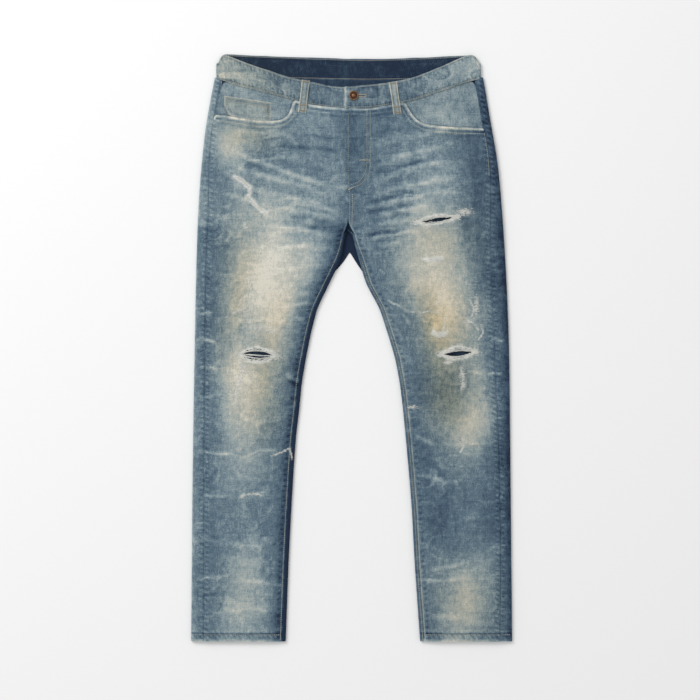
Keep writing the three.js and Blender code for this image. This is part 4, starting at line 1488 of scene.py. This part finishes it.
class Stitching:
    """Gathers stitches, then makes them as one mesh of short sunk threads."""

    def __init__(self, name, finish, slot):
        self.name, self.finish, self.slot = name, finish, slot
        self.starts, self.ends, self.ups = [], [], []

    def row(self, line, height, up=1.0):
        """A run of stitches along a flat line, on the surface given by height(x, y)."""
        pitch = jeans().threads.pitch / MM
        length = pitch * STITCH_SHARE
        line = even(line, 0.5)
        lengths = np.concatenate([[0], np.cumsum(np.linalg.norm(np.diff(line, axis=0), axis=1))])
        starts = np.arange(ROW_START, lengths[-1] - length, pitch)
        for shift, into in ((0.0, self.starts), (length, self.ends)):
            x = np.interp(starts + shift, lengths, line[:, 0])
            y = np.interp(starts + shift, lengths, line[:, 1])
            into.append(np.column_stack([x, y, height(x, y)]))
        self.ups.append(np.full(len(starts), up))

    def tack(self, middle, direction, half, height, up=1.0, count=9):
        """A bar tack: short stitches side by side along a direction."""
        direction = np.array(direction, float) / np.linalg.norm(direction)
        side = np.array([-direction[1], direction[0]])
        for k in np.linspace(-1, 1, count):
            centre = np.array(middle) + direction * half * k
            a, b = centre - side * TACK_HALF, centre + side * TACK_HALF
            self.one((*a, float(height(*a))), (*b, float(height(*b))), up)

    def one(self, start, end, up=1.0):
        self.starts.append(np.array([start], float))
        self.ends.append(np.array([end], float))
        self.ups.append(np.array([up]))

    def make(self):
        a, b, up = np.vstack(self.starts), np.vstack(self.ends), np.concatenate(self.ups)
        radius = jeans().threads.width / MM / 2
        shares, sizes, sunk = (0.0, 0.22, 0.78, 1.0), (0.5, 1.0, 1.0, 0.5), (-0.32, 0.1, 0.1, -0.32)
        run = b - a
        run /= np.linalg.norm(run, axis=1)[:, None]
        rise = np.column_stack([np.zeros_like(up), np.zeros_like(up), up])
        side = np.cross(run, rise)
        side /= np.linalg.norm(side, axis=1)[:, None]
        above = np.cross(side, run)
        rings = []
        for share, size, depth in zip(shares, sizes, sunk):
            centre = mix(a, b, share) + above * (depth + 0.10)
            for turn in steps(STITCH_SIDES, 0, TAU)[:-1]:
                rings.append(centre + radius * size * (side * math.cos(turn) + above * 0.8 * math.sin(turn)))
        points = np.stack(rings, 1).reshape(-1, 3)
        cap = np.arange(STITCH_SIDES)
        faces = [*grid_faces(len(shares), STITCH_SIDES, closed=True)]
        faces += [cap[::-1], cap + len(rings) - STITCH_SIDES]
        base = (np.arange(len(a)) * len(rings))[:, None]
        all_faces = []
        for face in faces:
            all_faces.extend(map(tuple, (base + face).tolist()))
        mesh = mesh_of(self.name, points, all_faces, (thread(self.finish),), sharp_angle=80)
        piece = new_object(self.name, mesh)
        stand_for(piece, self.slot)


def leg_line(leg, name, start, end, inward):
    """A line along a leg seam between two Y, this far towards the middle of the front."""
    y = steps(int(abs(end - start) / 4), start, end)
    direction = -leg.sign if name == "seam" else leg.sign
    return np.column_stack([leg.at(name, y) + direction * inward, y])


FLY_STITCHES = {"across": 33.0, "turn": 318.0, "foot": 279.0}


def sew_fronts():
    rows = Stitching("stitching_front", "pale thread", "front_denim")
    for leg in LEGS:
        on_front = lambda x, y, leg=leg: surface(leg, x, y)
        mouth = mouth_line(leg)
        for distance in (2.3, 8.6):
            rows.row(beside(mouth, -distance), on_front)
        rows.row(leg_line(leg, "inseam", HEM + 3, CROTCH_LOW - 4, 1.9), on_front)
        if leg is LEFT:
            rows.row(leg_line(leg, "inseam", HEM + 3, 150, -3.0), on_front)
            rows.row(leg_line(leg, "seam", 300, 376, 2.0), on_front)
        hem = HEM + HEM_TURN - 2
        x = steps(80, leg.at("seam", hem), leg.at("inseam", hem))
        rows.row(np.column_stack([x, np.full_like(x, hem)]), on_front)
        outer = steps(8, leg.at("outer", hem) - leg.sign * 3, leg.at("seam", hem) + leg.sign)
        rows.row(np.column_stack([outer, np.full_like(outer, hem)]), on_front)
    on_left = lambda x, y: surface(LEFT, x, y)
    fly = FLY_STITCHES
    for shift in (0.0, 6.0):
        bend = steps(14, 0, math.pi / 2)
        width = fly["across"] - shift - CENTRE
        curve = np.column_stack([CENTRE + 3 + (width - 3) * np.cos(bend),
                                 fly["turn"] + shift * 0.8 - (fly["turn"] - fly["foot"]) * np.sin(bend)])
        straight = [np.full(9, fly["across"] - shift), steps(8, 413, fly["turn"] + shift * 0.8)]
        rows.row(np.vstack([np.column_stack(straight), curve[1:]]), on_left)
    y = steps(60, 409, 216)
    edge = np.where(y > FLY["whole"], FLY["edge"], CENTRE) + 2.2
    rows.row(np.column_stack([edge, y]), on_left)
    rows.row(np.column_stack([steps(20, CENTRE + 8, CENTRE + 7), steps(20, 268, 214)]), on_left)
    rows.tack((23.5, 327), (1, 0.02), 8, on_left, count=14)
    rows.tack((-2, 277), (1, 0.5), 4, on_left, count=8)
    rows.make()


def sew_trims():
    rows = Stitching("stitching_pockets", "tan thread", "trim_denim")
    upper = seam_line("coin_pocket", False)
    left, right = box("coin_pocket")[:, 0]
    upper = upper[(upper[:, 0] > left + 2) & (upper[:, 0] < right - 2)]
    for distance in (2.6, 8.2):
        rows.row(beside(upper, -distance), coin_height)
    for inset in (2.4, 8.0):
        rows.row([(right - inset - 0.5, 424), (right - inset - 2.5, 396)], coin_height)
    rows.row([(left + 2.6, 436), (left + 1.8, 400)], coin_height)
    for leg in LEGS:
        loop = FrontLoop(leg)
        for side in (-1, 1):
            t = steps(40, 0.03, 0.97)
            x, y, z = loop.at(t, side * (loop.half - 2.6))
            rows.row(np.column_stack([x, y]), lambda px, py, y=y, z=z: np.interp(py, y, z) - 0.05)
        for t in (0.06, 0.22, 0.95):
            x, y, z = loop.at(t, 0.0)
            on_loop = lambda px, py, z=float(z): z + 0.1
            rows.tack((float(x), float(y)), (1, 0), loop.half - 1.6, on_loop, count=11)
    rows.make()


def sew_waist():
    rows = Stitching("stitching_waistband", "pale thread", "band_denim")
    band = Band()
    for leg in LEGS:
        end = -13.0 if leg is RIGHT else -8.0
        x = steps(60, end, leg.at("outer", BAND_LEVEL) - leg.sign * 5)

        def height(px, py, lapped=leg is LEFT):
            return np.full_like(px, band.front_z + BAND_HALF - 0.1) + band.lap_lift(px) * lapped

        for line, inset in ((band.front_low, 3.0), (band.front_high, -3.0)):
            rows.row(np.column_stack([x, by_x(line, x) + inset]), height)
    rows.row([(-7.6, by_x(band.front_low, -8) + 3), (-7.6, by_x(band.front_high, -8) - 3)], height)
    x = steps(100, RIGHT.at("outer", BAND_LEVEL) + 6, LEFT.at("outer", BAND_LEVEL) - 6)
    for line, inset in ((band.back_low, 3.0), (band.back_high, -3.0)):
        places = np.column_stack([x, by_x(line, x) + inset])
        rows.row(places, lambda px, py: np.full_like(px, band.back_z + BAND_HALF - 0.1))
        rows.row(places, lambda px, py: np.full_like(px, band.back_z - BAND_HALF + 0.15), up=-1.0)
    across, level = box("button").mean(0)[:2]
    slit_end = across + 20
    for side in (-1, 1):
        for x in np.arange(across + 6, slit_end, 0.9):
            rows.one((x, level + side * 0.7, band.face(x)), (x + 0.1, level + side * 2.9, band.face(x)))
    for turn in steps(6, -math.pi / 2, math.pi / 2):
        c, s = math.cos(turn), math.sin(turn)
        rows.one((slit_end + 0.6 * c, level + 0.8 * s, band.face(slit_end)),
                 (slit_end + 2.8 * c, level + 2.9 * s, band.face(slit_end)))
    rows.make()


def sew_back():
    rows = Stitching("stitching_back", "pale thread", "back_denim")
    under = lambda x, y: underside(x, y) + 0.1
    for leg in LEGS:
        name, sign = leg.name, leg.sign
        seam = seam_line(f"back_{name}", False)
        inside = (seam[:, 0] - CENTRE) * sign
        reach_x = (leg.at("outer", 420.0) - CENTRE) * sign - 4
        seam = seam[(inside > 3) & (inside < reach_x)]
        for up in (2.4, 8.6):
            rows.row(np.column_stack([seam[:, 0], seam[:, 1] + up]), under, up=-1.0)
        hem = HEM + HEM_TURN - 2
        x = steps(80, leg.at("outer", hem) - sign * 4, leg.at("inner", hem) + sign * 4)
        rows.row(np.column_stack([x, np.full_like(x, hem)]), under, up=-1.0)
        pocket = box(f"back_pocket_{name}")
        lower, upper = seam_line(f"back_pocket_{name}", True), seam_line(f"back_pocket_{name}", False)
        on_pocket = lambda px, py: np.full_like(px, 0.62)
        for inset in (3.0, 9.0):
            x = steps(60, pocket[0][0] + inset, pocket[1][0] - inset)
            rows.row(np.column_stack([x, by_x(upper, x) - inset - 1]), on_pocket, up=-1.0)
        for inset in (2.6, 8.2):
            x = steps(80, pocket[0][0] + inset, pocket[1][0] - inset)
            foot = np.column_stack([x, by_x(lower, x) + inset * 1.05])
            rows.row(foot, on_pocket, up=-1.0)
    y = steps(60, 214, 462)
    for aside in (8.6, 3.0):
        rows.row(np.column_stack([np.full_like(y, CENTRE + aside), y]), under, up=-1.0)
    for node in ("belt_loop_back_right", "belt_loop_back_left", "belt_loop_centre_back"):
        cad = box(node)
        for x in (cad[0][0] + 2.8, cad[1][0] - 2.8):
            rows.row([(x, cad[0][1] + 2), (x, cad[1][1] - 2)], lambda px, py: np.full_like(px, 0.6), up=-1.0)
        for y in (cad[0][1] + 2.5, cad[1][1] - 2.5):
            rows.tack((cad[:, 0].mean(), y), (1, 0), 4.6, lambda px, py: 0.55, up=-1.0, count=10)
    rows.make()


# ---------------------------------------------------------------- torn edges and loose yarns
YARN_POINTS = 8


class Yarns:
    """Gathers loose yarns, then makes them as one mesh of thin tubes on the cloth of one leg."""

    def __init__(self, name, leg):
        self.name, self.leg = name, leg
        self.paths, self.sizes = [], []

    def add(self, x, y, rise, radius):
        """A yarn along X and Y, this far above the cloth at each point."""
        t, places = np.linspace(0, 1, len(x)), np.linspace(0, 1, YARN_POINTS)
        self.paths.append([np.interp(places, t, np.broadcast_to(row, len(x))) for row in (x, y, rise)])
        self.sizes.append(radius)

    def make(self):
        paths = np.array(self.paths).transpose(0, 2, 1)
        flat = paths.reshape(-1, 3)
        flat[:, 2] += surface(self.leg, flat[:, 0], flat[:, 1])
        paths = flat.reshape(paths.shape)
        count, size = paths.shape[:2]
        run = np.gradient(paths, axis=1)
        run /= np.maximum(np.linalg.norm(run, axis=2), 1e-6)[..., None]
        side = np.cross(run, np.array([0.001, 0.001, 1.0]))
        side /= np.maximum(np.linalg.norm(side, axis=2), 1e-6)[..., None]
        above = np.cross(side, run)
        thin = np.ones(size)
        thin[[0, -1]] = 0.45
        radius = (np.array(self.sizes)[:, None] * thin[None, :])[..., None]
        rings = [paths + radius * (side * math.cos(turn) + above * math.sin(turn))
                 for turn in steps(4, 0, TAU)[:-1]]
        points = np.stack(rings, 2).reshape(-1, 3)
        one = [(i * 4 + k, i * 4 + (k + 1) % 4, i * 4 + 4 + (k + 1) % 4, i * 4 + 4 + k)
               for i in range(size - 1) for k in range(4)]
        one += [(3, 2, 1, 0), tuple(4 * (size - 1) + k for k in range(4))]
        faces = (np.array(one)[None, :, :] + (np.arange(count) * size * 4)[:, None, None]).reshape(-1, 4)
        mesh = mesh_of(self.name, points, faces, (thread("weft thread"),), sharp_angle=80)
        piece = new_object(self.name, mesh)
        stand_for(piece, "front_denim")


# Bundles of filling yarns left across a hole: leg, which rip, place across it, yarns, spread, sag.
BUNDLES = (
    ("right", 0, 0.74, 7, 0.06, 0.6), ("right", 0, 0.08, 6, 0.04, 1.6), ("right", 0, -0.46, 6, 0.05, 1.0),
    ("left", 0, -0.80, 9, 0.10, 0.3), ("left", 0, 0.80, 7, 0.10, 0.2), ("left", 1, 0.62, 12, 0.10, 0.6),
    ("left", 1, -0.75, 8, 0.10, 0.4),
)


def fray(leg):
    settings = jeans().fraying
    radius = settings.width / MM / 2
    rng = np.random.default_rng(7 if leg is RIGHT else 8)
    yarns = Yarns(f"frayed_yarns_{leg.name}", leg)

    def lay(x, y, length, lean, bow, size):
        t = steps(5)
        px = x + (t - 0.5) * length
        py = y + (t - 0.5) * length * lean + bow * 4 * t * (1 - t) + rng.normal(0, 0.12, 6)
        yarns.add(px, py, 0.28 * np.sin(math.pi * t) + 0.02, size)

    for index, v0, count, spread, sag in of_leg(BUNDLES, leg):
        rip = RIPS[leg.name][index]
        for k in range(count):
            v = v0 + rng.normal(0, spread)
            u = steps(18, -1.08 + rng.normal(0, 0.05), 1.08 + rng.normal(0, 0.05))
            bow = 1 - u * u
            x, y = rip.place(u, v * bow + 0.05 * np.sin(u * 5 + rng.uniform(0, 6)))
            y = y - sag * bow + rng.normal(0, 0.5) * np.sin(u * 7 + k)
            drop = np.maximum(bow, 0) * rng.uniform(0.4, 1.8)
            yarns.add(x, y, 0.2 - drop, radius * rng.uniform(0.8, 1.25))
    for rip in RIPS[leg.name]:
        for turn in rng.uniform(0, TAU, int(330 * settings.amount)):
            x, y = rip.place(math.cos(turn), math.sin(turn) * abs(math.sin(turn)))
            inward = np.sign(rip.middle[1] - y) * rng.uniform(-0.2, 1.0)
            length = rng.uniform(2.5, 8.0)
            t = steps(4)
            px = x + rng.normal(0, 1.0) * t + (t - 0.5) * length * rng.choice([-1, 1])
            py = y + inward * 2.2 * t + rng.normal(0, 1.1)
            yarns.add(px, py, 0.25 - 0.7 * t * max(inward, 0), radius * rng.uniform(0.6, 1.1))
        for side in (-1, 1):
            for k in range(int(45 * settings.amount)):
                x, y = rip.place(side * (1 + abs(rng.normal(0, 0.13))), rng.normal(0, 0.35))
                lay(x, y, rng.uniform(2, 7), rng.normal(0, 0.5), rng.normal(0, 0.6),
                    radius * rng.uniform(0.5, 0.9))
    for line, half in of_leg(WORN_LINES, leg):
        for px, py in even(line, 1.1):
            lay(px + rng.normal(0, 0.7), py + rng.normal(0, 0.8 * half), rng.uniform(1.5, 4.5),
                rng.normal(0, 0.4), rng.normal(0, 0.4), radius * rng.uniform(0.5, 0.85))
    for line, half in of_leg(SLITS, leg):
        for px, py in even(line, 0.55):
            for k in range(2):
                lay(px + rng.normal(0, 1.0), py + rng.normal(0, 1.3), rng.uniform(2, 6.5),
                    rng.normal(0, 0.4), rng.normal(0, 0.5), radius * rng.uniform(0.6, 1.1))
    for px, py, half_x, half_y in of_leg(WORN_SPOTS, leg):
        for k in range(int(6 + half_x * half_y * 0.7 * settings.amount)):
            x, y = px + rng.normal(0, 0.55) * half_x, py + rng.normal(0, 0.55) * half_y
            lay(x, y, rng.uniform(1.5, 5), rng.normal(0, 0.15), rng.normal(0, 0.3),
                radius * rng.uniform(0.5, 0.9))
    yarns.make()


# ---------------------------------------------------------------- studio
SENSOR = 36.0


def studio():
    stage = jeans().stage
    scene = bpy.context.scene
    floor_mesh = bpy.data.meshes.new("floor")
    half = 6.0
    corners = [(-half, -half, 0), (half, -half, 0), (half, half, 0), (-half, half, 0)]
    floor_mesh.from_pydata(corners, [], [(0, 1, 2, 3)])
    paper, w, shader = new_material("pale paper", stage.floor)
    place = w.node("ShaderNodeTexCoord").outputs["Object"]
    fibre = w.noise(place, (1.0, 1.0, 1.0), 60, 3.0)
    w.feed(shader.inputs["Base Color"], (*stage.floor, 1.0))
    w.feed(shader.inputs["Roughness"], w.math("ADD", w.math("MULTIPLY", fibre, 0.05), 0.9))
    shader.inputs["Specular IOR Level"].default_value = 0.1
    floor_mesh.materials.append(paper)
    new_object("floor", floor_mesh)

    lamp = bpy.data.lights.new("soft_window", "AREA")
    lamp.shape, lamp.size, lamp.size_y = "RECTANGLE", 2.2, 2.2
    lamp.energy = stage.lamp
    lamp_object = new_object("soft_window", lamp)
    lamp_object.location = (-2.5, 2.4, 2.9)
    lamp_object.rotation_euler = (-lamp_object.location).to_track_quat("-Z", "Y").to_euler()
    scene.world = scene.world or bpy.data.worlds.new("studio")
    scene.world.use_nodes = True
    sky = scene.world.node_tree.nodes["Background"]
    sky.inputs["Color"].default_value = (1, 1, 1, 1)
    sky.inputs["Strength"].default_value = stage.sky
    scene.view_settings.view_transform = "Standard"

    lens = bpy.data.cameras.new("camera")
    lens.lens, lens.sensor_width = stage.lens, SENSOR
    camera = new_object("camera", lens)
    camera.location = (-0.0026, -0.0044, stage.view_width * stage.lens / SENSOR)
    scene.camera = camera


# ---------------------------------------------------------------- settings, operators and panel
def setting(label, about, default, **more):
    return bpy.props.FloatProperty(name=label, description=about, default=default, **{"min": 0, **more})


def length_setting(label, about, default):
    return setting(label, about, default, unit="LENGTH")


def color_setting(label, about, hexcode):
    return bpy.props.FloatVectorProperty(name=label, description=about, default=linear(hexcode), size=3,
                                         subtype="COLOR", min=0, max=1)


class JeansCloth(bpy.types.PropertyGroup):
    wall: length_setting("Cloth", "Thickness of the denim", 0.001)
    fullness: setting("Fullness", "How full the legs lie", 1.0, max=2)
    creases: setting("Creases", "Height of the creases", 1.35, max=2)


class JeansDyes(bpy.types.PropertyGroup):
    # The darkest stop: unwashed denim, and also the painted shade of the inner faces, the waistband's inside
    # and the sheet between the legs, which lie near it.
    raw: color_setting("Unwashed", "Denim that the wash never reached, as inside the waist", "1c2c42")
    deep: color_setting("Deep", "Denim in seams and folds", "42576a")
    worn: color_setting("Worn", "Denim between the bleached parts", "647986")
    pale: color_setting("Pale", "Washed denim of the hips", "93a3a8")
    bleached: color_setting("Bleached", "Denim at the rim of the bleached parts", "bcc1bc")
    white: color_setting("White", "The most bleached denim, on the thighs", "deded6")
    tan: color_setting("Dirt tint", "Tan that old wear leaves, as a multiplier", "f0dcba")
    weft: color_setting("Filling yarn", "White yarns that show where the denim is worn through", "dfdfd8")


class JeansThreads(bpy.types.PropertyGroup):
    width: length_setting("Width", "Thickness of the sewing thread", 0.00105)
    pitch: length_setting("Stitch", "From one stitch to the next", 0.0034)
    pale: color_setting("Pale thread", "Faded sewing thread", "a8a593")
    faded: color_setting("Faded thread", "Sewing thread where it is most faded", "c9c8ba")
    tan: color_setting("Tan thread", "Sewing thread of pockets and loops", "b39c7c")
    weft: color_setting("Yarn", "Frayed filling yarn", "eae9e3")
    weft_shade: color_setting("Yarn in shade", "Frayed filling yarn where it is soiled", "c9ccc6")


class JeansFraying(bpy.types.PropertyGroup):
    width: length_setting("Yarn", "Thickness of a frayed yarn", 0.00095)
    amount: setting("Amount", "How frayed the holes are", 1.0, max=3)


class JeansMetal(bpy.types.PropertyGroup):
    copper: color_setting("Copper", "Bright rims of the button", "a8805f")
    tarnish: color_setting("Tarnish", "Dark hollows of the button", "4a3327")


class JeansStage(bpy.types.PropertyGroup):
    floor: color_setting("Floor", "Colour of the floor", "f7f7f7")
    lamp: setting("Lamp", "Power of the soft lamp", 102.0, unit="POWER")
    sky: setting("Fill", "Strength of the light all round", 0.67)
    lens: setting("Lens", "Focal length in millimetres", 85.0, min=10)
    view_width: length_setting("View", "Width of the floor that the camera sees", 1.225)


class Jeans(bpy.types.PropertyGroup):
    cloth: bpy.props.PointerProperty(type=JeansCloth, name="Cloth", description="Denim and how it lies")
    dyes: bpy.props.PointerProperty(type=JeansDyes, name="Dyes", description="Colours of the washed denim")
    threads: bpy.props.PointerProperty(type=JeansThreads, name="Threads", description="Sewing threads")
    fraying: bpy.props.PointerProperty(type=JeansFraying, name="Fraying",
                                       description="Loose yarns at the holes")
    metal: bpy.props.PointerProperty(type=JeansMetal, name="Metal", description="Finish of the button")
    stage: bpy.props.PointerProperty(type=JeansStage, name="Stage", description="Floor, light and camera")


class JEANS_OT_fronts(bpy.types.Operator):
    """Front panels with their holes, from the side seams to the inseams and the fly"""
    bl_idname = "jeans.fronts"
    bl_label = "Front panels"

    def execute(self, context):
        for leg in LEGS:
            front_panel(leg)
        return {"FINISHED"}


class JEANS_OT_backs(bpy.types.Operator):
    """Back panels, which wrap round the side folds on to the front"""
    bl_idname = "jeans.backs"
    bl_label = "Back panels"

    def execute(self, context):
        for leg in LEGS:
            back_panel(leg)
        crotch_shade_cloth()
        return {"FINISHED"}


class JEANS_OT_yokes(bpy.types.Operator):
    """Yokes between the back panels and the waistband"""
    bl_idname = "jeans.yokes"
    bl_label = "Yokes"

    def execute(self, context):
        for leg in LEGS:
            yoke(leg)
        return {"FINISHED"}


class JEANS_OT_waistband(bpy.types.Operator):
    """Waistband, one ring with its left end over its right end"""
    bl_idname = "jeans.waistband"
    bl_label = "Waistband"

    def execute(self, context):
        waistband()
        return {"FINISHED"}


class JEANS_OT_front_pockets(bpy.types.Operator):
    """Facings behind the front pocket mouths, and the coin pocket"""
    bl_idname = "jeans.front_pockets"
    bl_label = "Front pockets"

    def execute(self, context):
        for leg in LEGS:
            pocket_facing(leg)
        coin_pocket()
        return {"FINISHED"}


class JEANS_OT_back_pockets(bpy.types.Operator):
    """Back pockets, flat under the seat"""
    bl_idname = "jeans.back_pockets"
    bl_label = "Back pockets"

    def execute(self, context):
        for leg in LEGS:
            back_pocket(leg)
        return {"FINISHED"}


class JEANS_OT_belt_loops(bpy.types.Operator):
    """Belt loops, two on the front and three on the back"""
    bl_idname = "jeans.belt_loops"
    bl_label = "Belt loops"

    def execute(self, context):
        for leg in LEGS:
            front_loop(leg)
        for seed, node in enumerate(("belt_loop_back_right", "belt_loop_back_left", "belt_loop_centre_back")):
            back_loop(node, 84 + 2 * seed)
        return {"FINISHED"}


class JEANS_OT_button(bpy.types.Operator):
    """Tack button at the waist"""
    bl_idname = "jeans.button"
    bl_label = "Button"

    def execute(self, context):
        button()
        return {"FINISHED"}


class JEANS_OT_stitching(bpy.types.Operator):
    """All rows of stitches and bar tacks"""
    bl_idname = "jeans.stitching"
    bl_label = "Stitching"

    def execute(self, context):
        sew_fronts()
        sew_trims()
        sew_waist()
        sew_back()
        return {"FINISHED"}


class JEANS_OT_fraying(bpy.types.Operator):
    """Loose yarns across and round the holes"""
    bl_idname = "jeans.fraying"
    bl_label = "Fraying"

    def execute(self, context):
        for leg in LEGS:
            fray(leg)
        return {"FINISHED"}


class JEANS_OT_studio(bpy.types.Operator):
    """Pale floor, soft light and the camera straight above"""
    bl_idname = "jeans.studio"
    bl_label = "Studio"

    def execute(self, context):
        studio()
        return {"FINISHED"}


OPERATORS = (JEANS_OT_fronts, JEANS_OT_backs, JEANS_OT_yokes, JEANS_OT_waistband,
             JEANS_OT_front_pockets, JEANS_OT_back_pockets, JEANS_OT_belt_loops, JEANS_OT_button,
             JEANS_OT_stitching, JEANS_OT_fraying, JEANS_OT_studio)


class JEANS_PT_pieces(bpy.types.Panel):
    """Lists the pieces of the jeans"""
    bl_idname = "JEANS_PT_pieces"
    bl_label = "Ripped jeans"
    bl_space_type = "VIEW_3D"
    bl_region_type = "UI"
    bl_category = "Jeans"

    def draw(self, context):
        for operator in OPERATORS:
            self.layout.operator(operator.bl_idname)
        settings = context.scene.jeans
        for group in (settings.cloth, settings.dyes, settings.threads, settings.fraying, settings.metal,
                      settings.stage):
            section = self.layout.box()
            for key in group.bl_rna.properties.keys():
                if key not in ("rna_type", "name"):
                    section.prop(group, key)


CLASSES = (JeansCloth, JeansDyes, JeansThreads, JeansFraying, JeansMetal, JeansStage, Jeans, *OPERATORS,
           JEANS_PT_pieces)


def register():
    for item in CLASSES:
        bpy.utils.register_class(item)
    bpy.types.Scene.jeans = bpy.props.PointerProperty(type=Jeans, name="Jeans",
                                                      description="Sizes and colours")


def unregister():
    del bpy.types.Scene.jeans
    for item in reversed(CLASSES):
        bpy.utils.unregister_class(item)


def main():
    register()
    for operator in (bpy.ops.jeans.fronts, bpy.ops.jeans.backs, bpy.ops.jeans.yokes,
                     bpy.ops.jeans.waistband, bpy.ops.jeans.front_pockets, bpy.ops.jeans.back_pockets,
                     bpy.ops.jeans.belt_loops, bpy.ops.jeans.button, bpy.ops.jeans.stitching,
                     bpy.ops.jeans.fraying, bpy.ops.jeans.studio):
        operator()


if __name__ == "__main__":
    main()
